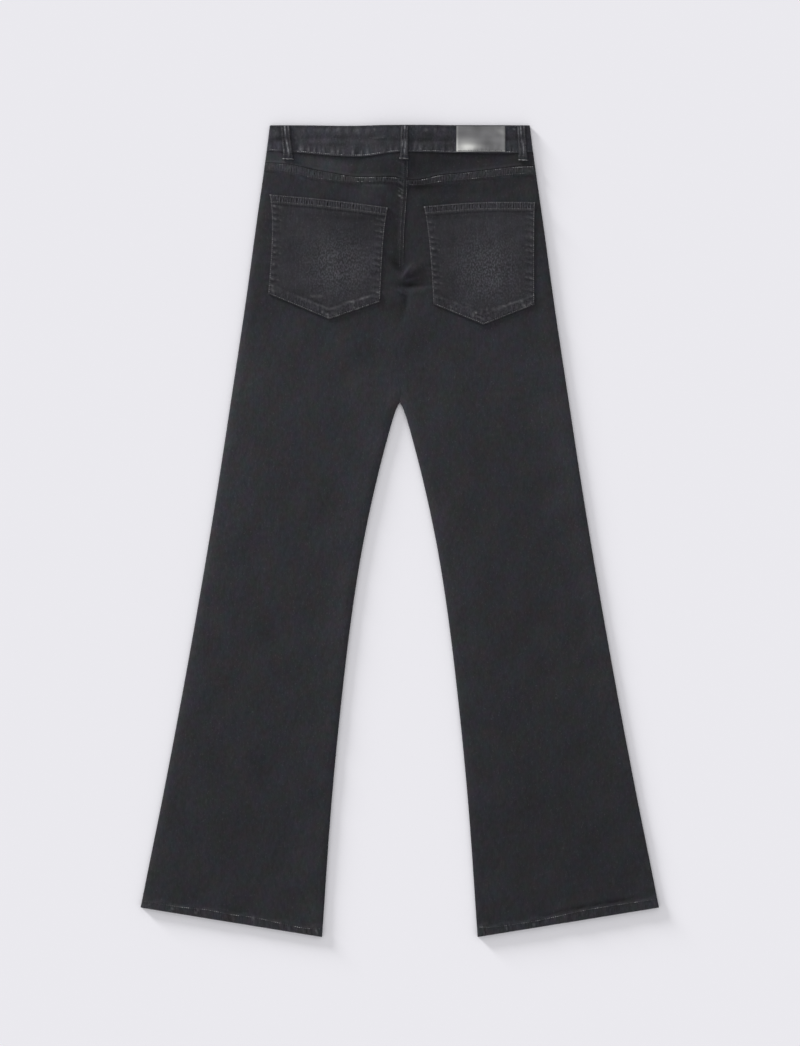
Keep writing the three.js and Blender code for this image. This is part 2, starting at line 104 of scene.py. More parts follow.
# Curves, waves and soft shapes
def curveOf(rows):
    at, value = np.array(rows, float).T
    slope = np.diff(value) / np.diff(at)
    lean = np.concatenate([slope[:1], (slope[1:] + slope[:-1]) / 2, slope[-1:]])

    def evaluate(place):
        place = np.clip(place, at[0], at[-1])
        k = np.clip(np.searchsorted(at, place, side="right") - 1, 0, len(at) - 2)
        width = at[k + 1] - at[k]
        t = (place - at[k]) / width
        first = (1 + 2 * t) * (1 - t) ** 2 * value[k] + t * (1 - t) ** 2 * width * lean[k]
        return first + t * t * (3 - 2 * t) * value[k + 1] - t * t * (1 - t) * width * lean[k + 1]

    return evaluate


def mix(a, b, t):
    return a + (b - a) * t


def ease(value, start, end):
    t = np.clip((value - start) / (end - start), 0, 1)
    return t * t * (3 - 2 * t)


def hill(value, middle, width):
    return np.exp(-(((value - middle) / width) ** 2))


def rounded(distance, width):
    left = 1 - np.minimum(1, distance / width)
    return np.sqrt(1 - left * left)


# uneven waves from -1 to 1; the last value says how much they wander and fade
def puckers(along, period, seed, uneven=1):
    rng = np.random.default_rng(seed)
    turn = rng.uniform(0, 2 * math.pi, 5)
    phase = 2 * math.pi * along / period
    wander = 1.5 * np.sin(phase / 4.7 + turn[0]) + 0.9 * np.sin(phase / 2.3 + turn[1])
    strength = 0.62 + 0.38 * np.sin(phase / 3.1 + turn[2]) * np.sin(phase / 7.7 + turn[4])
    return np.sin(phase + uneven * wander + turn[3]) * mix(0.9, strength, uneven)


# the ridges of such waves, from 0 to 1
def crests(wave, sharpness):
    return np.maximum(0, wave) ** sharpness


# slow uneven waves in all directions, about -2 to 2
def cloud(x, drop, size, seed, waves=9):
    rng = np.random.default_rng(seed)
    total = np.zeros(np.broadcast(x, drop).shape)
    for _ in range(waves):
        angle = rng.uniform(0, 2 * math.pi)
        pace = 2 * math.pi / size * rng.uniform(0.6, 1.6)
        total += np.sin(pace * (x * math.cos(angle) + drop * math.sin(angle)) + rng.uniform(0, 6.3))
    return total / math.sqrt(waves / 2)


sideX = curveOf(sideSeam)
insideX = curveOf(inseam)
seatX = curveOf(seatSeam)
yokeDrop = curveOf(yokeSeam)
fellWidth = curveOf(yokeFell)
bandDrop = curveOf(bandEdge)
hemDepth = curveOf(hemBand)
airHeight = curveOf(airUnder)


def hemDrop(x):
    (innerX, innerDrop), (outerX, outerDrop) = cut["hemInner"], cut["hemOuter"]
    return mix(innerDrop, outerDrop, (np.abs(x) - innerX) / (outerX - innerX))


def edgeDistance(x, drop):
    fromSide = sideX(drop) - np.abs(x)
    below = np.abs(x) - insideX(drop)
    fromInside = np.where(drop > cut["crotch"], below, np.hypot(x, cut["crotch"] - drop))
    return np.maximum(0, np.minimum(fromSide, fromInside))


# the sum of soft oval strokes, each one x, drop, turn in degrees, length, width and strength
def strokes(table, x, drop):
    total = 0
    for atX, atDrop, degrees, length, width, strength in table:
        turn = math.radians(degrees)
        right, up = x - atX, atDrop - drop
        along = (right * math.cos(turn) + up * math.sin(turn)) / (length / 2)
        across = (up * math.cos(turn) - right * math.sin(turn)) / (width / 2)
        total = total + strength * np.exp(-along * along - across * across)
    return total


# the sum of soft ovals, each one x, drop, width, height and strength, with their long axis tilted by lean
def ovals(table, x, drop, lean=0):
    total = 0
    for atX, atDrop, width, height, strength in table:
        total = total + strength * hill(x, atX, width) * hill(drop + lean * (x - atX), atDrop, height)
    return total


def overFly(x, drop):
    aside = np.where(x < 0, ease(-x, 20, 58), ease(x, 24, 78))
    return (1 - aside) * (1 - ease(drop, 40, 140))


# The back of the legs and the yoke: heights, wear and shade
back = {
    "undulation": 0.16,  # slow unevenness of the laid cloth
    "ripple": 0.07,
    "yokePucker": 0.3,
    "seatPucker": 0.6,
    "sidePucker": 0.14,
    "hemPucker": 0.5,
    "pocketPull": 0.2,  # puckers of the leg beside the pockets
    "edgePale": 0.19,  # the cloth is paler along the side seams and inseams
}
leftShade = [(40, 1), (90, 0.97), (150, 0.98), (230, 1.01), (290, 1.06), (335, 1.1), (450, 1.04),
             (650, 0.99), (850, 0.92), (1000, 0.88), (1100, 0.91)]  # drop, brightness
rightShade = [(40, 0.82), (90, 0.85), (150, 0.93), (230, 0.97), (290, 1), (335, 1.04), (450, 0.97),
              (650, 0.9), (850, 0.84), (1000, 0.78), (1100, 0.82)]
shades = [  # x, drop, turn in degrees, length, width, change of brightness: tone of the cloth, with painted shade and highlights on the seat's creases and a painted shadow under the waistband
    (-160, 46, 0, 68, 30, 0.48),
    (-92, 54, -6, 80, 22, 0.42),
    (-74, 56, 70, 24, 12, 0.1),
    (-97, 50, 0, 12, 10, 0.14),
    (-28, 58, 0, 64, 26, -0.28),
    (-40, 48, 4, 80, 7, -0.16),
    (116, 52, 0, 70, 16, 0.12),
    (44, 52, 0, 88, 32, -0.06),
    (76, 50, 0, 110, 11, -0.14),
    (164, 88, 0, 44, 20, 0.12),
    (80, 90.5, 0, 74, 4.4, -0.12),
    (44, 82, 4, 88, 9, -0.18),
    (22, 84, 4, 42, 17, -0.22),
    (-22, 102, -30, 34, 5, -0.16),
    (-12, 94, -34, 26, 4, 0.1),
    (-34, 88, 0, 80, 20, 0.04),
    (-4, 142, 88, 120, 26, -0.23),
    (-6.5, 164, 84, 28, 9, -0.3),
    (-8, 187, -46, 34, 10, -0.46),
    (8.5, 199, 57, 22, 3, 0.6),
    (12, 209.6, 14, 24, 3, 0.36),
    (19, 199, 30, 22, 6, -0.24),
    (13, 206, 34, 22, 5, -0.2),
    (24, 202.6, 25, 26, 9, -0.3),
    (34, 230, -6, 26, 7, -0.14),
    (11, 216.6, -2, 22, 8.4, -0.46),
    (25, 216.4, 2, 30, 5, -0.3),
    (36, 216, 4, 24, 5, -0.2),
    (14, 219.6, -2, 30, 4, 0.12),
    (1, 225, -30, 16, 3.4, 0.26),
    (3, 229, -28, 14, 3.6, -0.3),
    (7.5, 239, 82, 20, 4.8, -0.32),
    (-2, 182, 90, 24, 12, -0.26),
    (22, 150, 90, 130, 40, -0.07),
    (0, 305, 0, 100, 170, -0.05),
    (312, 1000, 0, 110, 200, -0.05),
    (190, 880, 0, 120, 140, -0.05),
    (-190, 905, 0, 120, 140, -0.04),
    (-212, 450, 90, 180, 50, 0.13),
    (212, 450, 90, 180, 46, 0.055),
    (-78, 650, 90, 170, 22, 0.09),
    (-95, 52, -6, 80, 14, 0.06),
    (-158, 44, 0, 44, 12, 0.08),
    (-105, 288, 0, 150, 26, 0.05),
]
yokeSeamShading = [  # the same for thin lines at the yoke seam: the dark ones are painted shadow along the seam, the pale ones partly worn edges and partly painted highlights
    (-121, 59.2, -22, 60, 3.4, -0.5),
    (-86, 65.9, -12, 30, 2.6, -0.3),
    (-10, 69.4, -2, 16, 2.4, -0.3),
    (47, 63.8, 2, 22, 2.4, -0.2),
    (163, 54.2, 3, 30, 2.2, -0.26),
    (-139, 52.8, -18, 22, 2.4, 0.34),
    (-169, 63, -8, 26, 3.2, 0.3),
    (-151, 66, -4, 26, 3.6, 0.55),
    (-136, 69.6, -22, 26, 4, 0.55),
    (-112, 73.4, -14, 36, 4, 0.45),
    (-72, 77.4, -2, 32, 3, 0.3),
    (-42, 81, -4, 28, 4, 0.4),
    (-24, 81.6, 2, 15, 3.6, 0.5),
    (64, 79, 3, 54, 3.4, 0.4),
    (102, 76, 2, 36, 4, 0.3),
    (142, 70.4, 6, 38, 4, 0.5),
    (172, 66.6, 2, 22, 3, 0.3),
]
leftBrightness = curveOf(leftShade)
rightBrightness = curveOf(rightShade)


# how strongly the leg rolls just above the turned hem, from 0 to 1; it also weights the painted shadow in
# that roll
def hemRoll(x):
    rightHem = ease(x, 196, 222) * (1 - ease(x, 308, 330))
    leftHem = ease(-x, 150, 190) * (1 - ease(-x, 250, 300))
    return rightHem + 0.15 * leftHem


# the puckers along each seam, which height, wear and painted shade share
def yokeWave(x, drop):
    return puckers(x + 0.5 * (drop - yokeDrop(x)), 6.4, 11)


def seatWave(x, drop):
    return puckers(drop + 0.6 * (seatX(drop) - x), 6.4, 21)


def hemWave(x, drop):
    return puckers(x + 0.3 * (hemDrop(x) - drop), 7.4, 31)


def undulation(x, drop):
    return back["undulation"] * cloud(x, drop, 52, 3)


def backFine(x, drop):
    high = undulation(x, drop) + back["ripple"] * cloud(x, drop, 19, 4)
    high = high + back["yokePucker"] * yokeWave(x, drop) * hill(drop - yokeDrop(x), 5, 7)
    fade = 1 - 0.7 * ease(drop, 120, 210)
    high = high + back["seatPucker"] * fade * seatWave(x, drop) * hill(seatX(drop) - x, 8, 6)
    side = sideX(drop) - np.abs(x)
    high = high + back["sidePucker"] * puckers(drop + np.sign(x) * 40, 15, 24) * hill(side, 4, 9)
    inside = np.where(drop > cut["crotch"], np.abs(x) - insideX(drop), 99)
    high = high + back["sidePucker"] * puckers(drop + np.sign(x) * 70, 13, 25) * hill(inside, 4, 9)
    hem = hemDrop(x) - drop
    high = high + back["hemPucker"] * hemWave(x, drop) * hill(hem, 5, 8)
    above = hem - hemDepth(x)
    high = high - (0.44 * hill(above, 2.6, 2.6) - 0.28 * hill(above, 9, 5)) * hemRoll(x)
    return high * rounded(edgeDistance(x, drop), 6)


def seamRise(x, drop, side, ofLeg):
    seat = seatX(drop) - x if side < 0 else np.full(np.shape(x), 99.0)
    high = mix(0.7, 0, ease(drop, 150, 198)) * (1 - ease(seat, cut["seatFell"], 8.6)) * ease(seat, -0.6, 1.4)
    below = drop - yokeDrop(x)
    if not ofLeg:
        return np.maximum(high, 0.62 * ease(below, -3.6, -0.5))
    wide = fellWidth(x)
    fell = cut["fellRise"] * (1 - ease(below, wide - 0.6, wide + 2.6)) * (0.3 + 0.7 * ease(below, 0, 3))
    high = np.maximum(high, fell)
    deep = hemDepth(x)
    soft = 1.6 + 5 * np.clip(0.35 + puckers(x, 33, 71), 0, 1)
    return np.maximum(high, cut["hemRise"] * (1 - ease(hemDrop(x) - drop, deep - 0.4, deep + soft)))


def backUnder(x, drop):
    distance = edgeDistance(x, drop)
    base = cut["frontCurl"] + cut["denim"] + cut["gap"]
    air = airHeight(drop) * rounded(distance, cut["edgeRound"]) + cut["flyLift"] * overFly(x, drop)
    return base + air + strokes(creases, x, drop) * rounded(distance, 40)


def backOver(x, drop, side, ofLeg=True):
    pull = pocketPull(x, drop) if ofLeg else 0
    return backUnder(x, drop) + cut["denim"] + seamRise(x, drop, side, ofLeg) + backFine(x, drop) + pull


def backWear(x, drop):
    yoke = drop - yokeDrop(x)
    wear = 0.13 * crests(yokeWave(x, drop), 2) * hill(yoke, 5, 5) * (0.4 + 0.6 * ease(np.abs(x), 30, 110))
    wear = wear + 0.05 * hill(yoke, fellWidth(x) / 2, 5) * ease(np.abs(x), 20, 60)
    ridge = crests(seatWave(x, drop), 2) * hill(seatX(drop) - x, 9, 3.6)
    wear = wear + 0.8 * ridge * (1 - ease(drop, 94, 112)) * ease(drop, 62, 74)
    hem = hemDrop(x) - drop
    ridge = crests(hemWave(x, drop), 3) * np.clip(0.5 + 1.6 * puckers(x, 21, 72), 0.1, 1.6)
    wear = wear + (0.3 * hill(hem, hemDepth(x) - 3, 3.4) + 0.24 * hill(hem, 4, 4)) * ridge
    wear = wear + 0.05 * hill(hem, 0, 1.2)
    side = sideX(drop) - np.abs(x)
    return wear + 0.05 * hill(side, 1, 5) * (0.5 + 0.5 * puckers(drop, 15, 24))


# brightness of the back: tone of the cloth, with painted shade and highlights at its seams, creases and hems
def backShade(x, drop, ofLeg=True):
    shade = mix(leftBrightness(drop), rightBrightness(drop), ease(x, -14, 22))
    shade = shade + strokes(shades, x, drop) + strokes(yokeSeamShading, x, drop)
    edge = hill(edgeDistance(x, drop), 0, 36) * (1 + 0.3 * cloud(x, drop, 70, 45))
    shade = shade + back["edgePale"] * edge * ease(drop, 240, 330) * (1 - 0.45 * ease(drop, 560, 900))
    below = drop - yokeDrop(x)
    if ofLeg:
        hem = hemDrop(x) - drop
        # the fell is a little paler, with a painted shadow just below the yoke seam
        shade = shade + 0.06 * (1 - ease(below, fellWidth(x), fellWidth(x) + 2)) - 0.1 * hill(below, 0.8, 1.3)
        above = hem - hemDepth(x)
        # the hem band is paler, with painted shade and highlights following its puckers, and a painted shadow
        # just above it where the leg rolls
        inBand = 1 - ease(above, -1, 1)
        shade = shade + (0.15 + 0.1 * hemWave(x, drop)) * inBand
        return shade - 0.08 * hill(above, 1.4, 1.4) - 0.22 * hill(above, 2.8, 2.4) * hemRoll(x)
    # on the yoke: painted shadow under the waistband and at the yoke seam
    return shade - 0.2 * hill(drop - bandDrop(x), 0.6, 2.4) - 0.06 * hill(below, -0.4, 1.4)


def backGrain(x, drop):
    below, hem = drop - yokeDrop(x), hemDrop(x) - drop
    grain = hill(below, fellWidth(x) / 2, fellWidth(x) / 1.7) * 0.4
    return grain + 0.25 * (1 - ease(hem, 10, 14))


# where short strokes of wear run across a seam
def backHatch(x, drop):
    below, hem = drop - yokeDrop(x), hemDrop(x) - drop
    patches = np.clip(0.62 + 0.5 * puckers(x, 34, 61), 0.1, 1)
    hatch = patches * hill(below, fellWidth(x) * (0.45 + 0.1 * puckers(x, 17, 62)), fellWidth(x) / 2.2)
    return hatch + 0.22 * (1 - ease(hem, 9, 12)) * np.clip(0.6 + puckers(x, 30, 63), 0, 1)


# Building sheets of cloth
def toWorld(x, drop, z):
    return np.stack([x, cut["length"] / 2 - drop, z], -1) / 1000


# knots is a list of (place, steps to the next one), and a place is a function
def inSteps(knots):
    spots = []
    for (place, count), (following, _) in zip(knots[:-1], knots[1:]):
        spots += [(place, following, k / count) for k in range(count)]
    last = knots[-1][0]
    return spots + [(last, last, 0)]


# x and drop of a grid; its rows follow functions of x, and its columns follow functions of drop
def layOut(rows, columns):
    rowSpots, columnSpots = inSteps(rows), inSteps(columns)
    x = np.zeros((len(rowSpots), len(columnSpots)))
    drop = np.zeros_like(x)
    for _ in range(6):
        for r, (a, b, t) in enumerate(rowSpots):
            drop[r] = mix(a(x[r]), b(x[r]), t)
        for c, (a, b, t) in enumerate(columnSpots):
            x[:, c] = mix(a(drop[:, c]), b(drop[:, c]), t)
    return x, drop


def at(value):
    return lambda place: np.full(np.shape(place), float(value))


def makeMesh(name, points, faces, material, smoothTo=50):
    mesh = bpy.data.meshes.new(name)
    mesh.from_pydata(points.tolist(), [], faces)
    mesh.materials.append(material)
    mesh.shade_smooth()
    mesh.set_sharp_from_angle(angle=math.radians(smoothTo))
    piece = bpy.data.objects.new(name, mesh)
    bpy.context.collection.objects.link(piece)
    return piece


def paint(piece, name, values):
    layer = piece.data.attributes.new(name, "FLOAT", "POINT")
    layer.data.foreach_set("value", np.asarray(values, np.float32).ravel())


# a closed shell between two grids of points; rows run down and columns to the right on its outside
def makeCloth(name, over, under, material, shade=1.0, wear=0.0, grain=0.0, hatch=0.0):
    rows, columns = over.shape[:2]
    count = rows * columns
    index = np.arange(count).reshape(rows, columns)
    a, b, c, d = index[:-1, :-1], index[:-1, 1:], index[1:, 1:], index[1:, :-1]
    quads = [np.stack([a, d, c, b], -1).reshape(-1, 4), np.stack([a, b, c, d], -1).reshape(-1, 4) + count]
    border = np.concatenate([index[0, :-1], index[:-1, -1], index[-1, :0:-1], index[:0:-1, 0]])
    after = np.roll(border, -1)
    quads.append(np.stack([border, after, after + count, border + count], -1))
    points = np.concatenate([over.reshape(-1, 3), under.reshape(-1, 3)])
    piece = makeMesh(name, points, np.concatenate(quads).tolist(), material)
    # shade carries tone and painted shade; wear carries wear and, on the patch, a painted highlight
    painted = (("shade", shade, 1), ("wear", wear, 0), ("grain", grain, 1), ("hatch", hatch, 1))
    for label, values, inside in painted:
        spread = np.broadcast_to(values, (rows, columns)).ravel()
        paint(piece, label, np.concatenate([spread, inside * spread]))
    return piece


def dress(piece, slot, *nodes):
    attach(piece, "root")
    if nodes:
        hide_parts(*nodes)


# Shader groups
def newGroup(name, inputs, outputs):
    tree = bpy.data.node_groups.new(name, "ShaderNodeTree")
    for label, kind, value in inputs:
        socket = tree.interface.new_socket(label, in_out="INPUT", socket_type="NodeSocket" + kind)
        socket.default_value = value
    for label, kind in outputs:
        tree.interface.new_socket(label, in_out="OUTPUT", socket_type="NodeSocket" + kind)
    return tree, tree.nodes.new("NodeGroupInput"), tree.nodes.new("NodeGroupOutput")


# adds a node; an input is a value or another node's socket, named by its word or as n and its number
def node(tree, kind, settings=None, **inputs):
    made = tree.nodes.new("ShaderNode" + kind)
    for key, value in (settings or {}).items():
        setattr(made, key, value)
    for key, value in inputs.items():
        socket = made.inputs[int(key[1:]) if key[0] == "n" and key[1:].isdigit() else key]
        if isinstance(value, bpy.types.NodeSocket):
            tree.links.new(value, socket)
        else:
            socket.default_value = value
    return made


def math2(tree, operation, a, b=0.0, clamp=False):
    return node(tree, "Math", {"operation": operation, "use_clamp": clamp}, n0=a, n1=b).outputs[0]


def timesPlus(tree, value, times, plus):
    return math2(tree, "ADD", math2(tree, "MULTIPLY", value, times), plus)


def blendColour(tree, kind, amount, a, b):
    made = node(tree, "Mix", {"data_type": "RGBA", "blend_type": kind}, n0=amount, n6=a, n7=b)
    return made.outputs[2]


def stretchedNoise(tree, place, stretch, scale, detail=2.0):
    shifted = node(tree, "Mapping", None, Vector=place, Scale=stretch)
    return node(tree, "TexNoise", None, Vector=shifted.outputs[0], Scale=scale, Detail=detail).outputs[0]


def between(tree, value, low, high):
    return node(tree, "MapRange", None, Value=value, n1=low, n2=high).outputs[0]


# short broken strokes side by side, about -1 to 1
def shortStrokes(tree, place):
    x, _, _ = node(tree, "SeparateXYZ", None, Vector=place).outputs
    wobble = math2(tree, "MULTIPLY", stretchedNoise(tree, place, (1, 0.5, 1), 170, 2), 9.0)
    phase = math2(tree, "ADD", math2(tree, "MULTIPLY", x, 2 * math.pi / 0.0035), wobble)
    broken = between(tree, stretchedNoise(tree, place, (1, 0.7, 1), 210, 1), 0.36, 0.62)
    return math2(tree, "MULTIPLY", math2(tree, "SINE", phase), math2(tree, "MULTIPLY", broken, 1.1))


# overdyed denim: uneven dye, pale slubs along the warp, specks, and worn ridges
def washedDenimGroup():
    tree, given, result = newGroup("washedDenim", [
        ("Dye", "Color", (0.02, 0.02, 0.022, 1)),
        ("Worn", "Color", (0.2, 0.2, 0.21, 1)),
        ("Shade", "Float", 1.0),
        ("Wear", "Float", 0.0),
        ("Grain", "Float", 0.0),
        ("Hatch", "Float", 0.0),
        ("Mottle", "Float", 0.1),
        ("Tint", "Float", 0.1),
        ("Slub", "Float", 0.1),
        ("Speck", "Float", 0.1),
    ], [("Colour", "Color"), ("Roughness", "Float"), ("Height", "Float")])
    place = node(tree, "TexCoord").outputs["Object"]
    slow = stretchedNoise(tree, place, (1, 0.7, 1), 26, 3)
    quick = stretchedNoise(tree, place, (1, 0.45, 1), 330, 3)
    cloudy = timesPlus(tree, slow, 0.45, math2(tree, "MULTIPLY", quick, 0.85))
    uneven = math2(tree, "MULTIPLY", math2(tree, "SUBTRACT", cloudy, 0.65), given.outputs["Mottle"])
    salt = between(tree, stretchedNoise(tree, place, (1, 0.6, 1), 520, 1), 0.42, 0.72)
    salt = math2(tree, "MULTIPLY", math2(tree, "SUBTRACT", salt, 0.3), given.outputs["Grain"])
    uneven = math2(tree, "ADD", uneven, salt)
    uneven = timesPlus(tree, shortStrokes(tree, place), given.outputs["Hatch"], uneven)
    level = math2(tree, "MULTIPLY", math2(tree, "ADD", uneven, 1.0), given.outputs["Shade"])
    warmth = between(tree, stretchedNoise(tree, place, (1, 1, 1), 84, 2), 0.3, 0.7)
    coolness = between(tree, stretchedNoise(tree, place, (1, 0.8, 1), 61, 2), 0.3, 0.7)
    lean = blendColour(tree, "MIX", warmth, (1.12, 0.935, 1.03, 1), (0.88, 1.065, 0.97, 1))
    cool = blendColour(tree, "MIX", coolness, (1.02, 1, 0.88, 1), (0.98, 1, 1.12, 1))
    tinted = blendColour(tree, "MULTIPLY", given.outputs["Tint"], given.outputs["Dye"], lean)
    tinted = blendColour(tree, "MULTIPLY", given.outputs["Tint"], tinted, cool)
    dyed = node(tree, "VectorMath", {"operation": "SCALE"}, n0=tinted, Scale=level).outputs[0]
    slubs = between(tree, stretchedNoise(tree, place, (1, 0.12, 1), 620, 2), 0.56, 0.8)
    patchy = between(tree, stretchedNoise(tree, place, (1, 1, 1), 75, 2), 0.4, 0.62)
    slubs = math2(tree, "MULTIPLY", slubs, patchy)
    specks = between(tree, stretchedNoise(tree, place, (1, 0.55, 1), 760, 0), 0.71, 0.82)
    broken = between(tree, stretchedNoise(tree, place, (1, 1, 1), 430, 3), 0.3, 0.66)
    rubbed = math2(tree, "MULTIPLY", given.outputs["Wear"], math2(tree, "ADD", broken, 0.35))
    pale = timesPlus(tree, slubs, given.outputs["Slub"], rubbed)
    pale = math2(tree, "ADD", pale, math2(tree, "MULTIPLY", specks, given.outputs["Speck"]), True)
    colour = blendColour(tree, "MIX", pale, dyed, given.outputs["Worn"])
    tree.links.new(colour, result.inputs["Colour"])
    tree.links.new(timesPlus(tree, cloudy, 0.16, 0.8), result.inputs["Roughness"])
    height = timesPlus(tree, slubs, 0.8, math2(tree, "MULTIPLY", quick, 0.5))
    tree.links.new(height, result.inputs["Height"])
    return tree


# the diagonal ribs of a twill weave
def twillGroup():
    tree, given, result = newGroup("twillWeave", [
        ("Ribs", "Float", 900.0),
        ("Unevenness", "Float", 0.4),
    ], [("Height", "Float")])
    place = node(tree, "TexCoord").outputs["Object"]
    x, y, _ = node(tree, "SeparateXYZ", None, Vector=place).outputs
    slant = timesPlus(tree, y, 0.62, x)
    wobble = stretchedNoise(tree, place, (1, 0.3, 1), 240, 2)
    wobble = math2(tree, "MULTIPLY", math2(tree, "MULTIPLY", wobble, given.outputs["Unevenness"]), 6.0)
    ribs = math2(tree, "MULTIPLY", math2(tree, "MULTIPLY", slant, given.outputs["Ribs"]), 2 * math.pi)
    wave = math2(tree, "SINE", math2(tree, "ADD", ribs, wobble))
    weft = math2(tree, "MULTIPLY", math2(tree, "MULTIPLY", y, given.outputs["Ribs"]), 7.1)
    wave = timesPlus(tree, math2(tree, "SINE", weft), 0.4, wave)
    tree.links.new(timesPlus(tree, wave, 0.35, 0.5), result.inputs["Height"])
    return tree


washedDenim = washedDenimGroup()
twillWeave = twillGroup()


def newMaterial(name, **values):
    material = bpy.data.materials.new(name)
    material.use_nodes = True
    tree = material.node_tree
    shader = tree.nodes["Principled BSDF"]
    for key, value in values.items():
        shader.inputs[key].default_value = value
    return material, tree, shader


def denimMaterial(name, look):
    sockets = {"Specular IOR Level": look["gloss"], "Sheen Weight": look["sheen"], "Sheen Roughness": 0.5}
    material, tree, shader = newMaterial(name, **sockets)
    wash = node(tree, "Group", {"node_tree": washedDenim})
    for label in ("Mottle", "Tint", "Slub", "Speck"):
        wash.inputs[label].default_value = look[label.lower()]
    wash.inputs["Dye"].default_value = (*look["dye"], 1)
    wash.inputs["Worn"].default_value = (*look["worn"], 1)
    for label in ("Shade", "Wear", "Grain", "Hatch"):
        painted = node(tree, "Attribute", {"attribute_name": label.lower()})
        tree.links.new(painted.outputs["Fac"], wash.inputs[label])
    tree.links.new(wash.outputs["Colour"], shader.inputs["Base Color"])
    tree.links.new(wash.outputs["Roughness"], shader.inputs["Roughness"])
    weave = node(tree, "Group", {"node_tree": twillWeave}, Ribs=look["ribs"])
    height = timesPlus(tree, wash.outputs["Height"], 0.7, weave.outputs["Height"])
    bump = node(tree, "Bump", None, Strength=look["weave"], Distance=0.00022, Height=height)
    tree.links.new(bump.outputs["Normal"], shader.inputs["Normal"])
    return material


legLook = {
    "dye": (0.0235, 0.0237, 0.0283), "worn": (0.17, 0.17, 0.18), "mottle": 1, "tint": 1,
    "slub": 0.05, "speck": 0.1, "ribs": 980, "weave": 0.5, "gloss": 0.18, "sheen": 0.04,
}
denimLooks = {
    "legDenim": legLook,
    "pocketDenim": {
        **legLook, "dye": (0.0268, 0.0261, 0.0313), "worn": (0.19, 0.19, 0.195), "tint": 0.4,
        "slub": 0.1, "speck": 0.12, "weave": 0.6,
    },
    "bandDenim": {
        **legLook, "dye": (0.0302, 0.0305, 0.0374), "worn": (0.2, 0.2, 0.215), "mottle": 1.1, "tint": 0.6,
        "slub": 0.08, "speck": 0.14, "gloss": 0.2,
    },
    "frontDenim": legLook,
}
denims = {name: denimMaterial(name, look) for name, look in denimLooks.items()}
print("denim mixed")

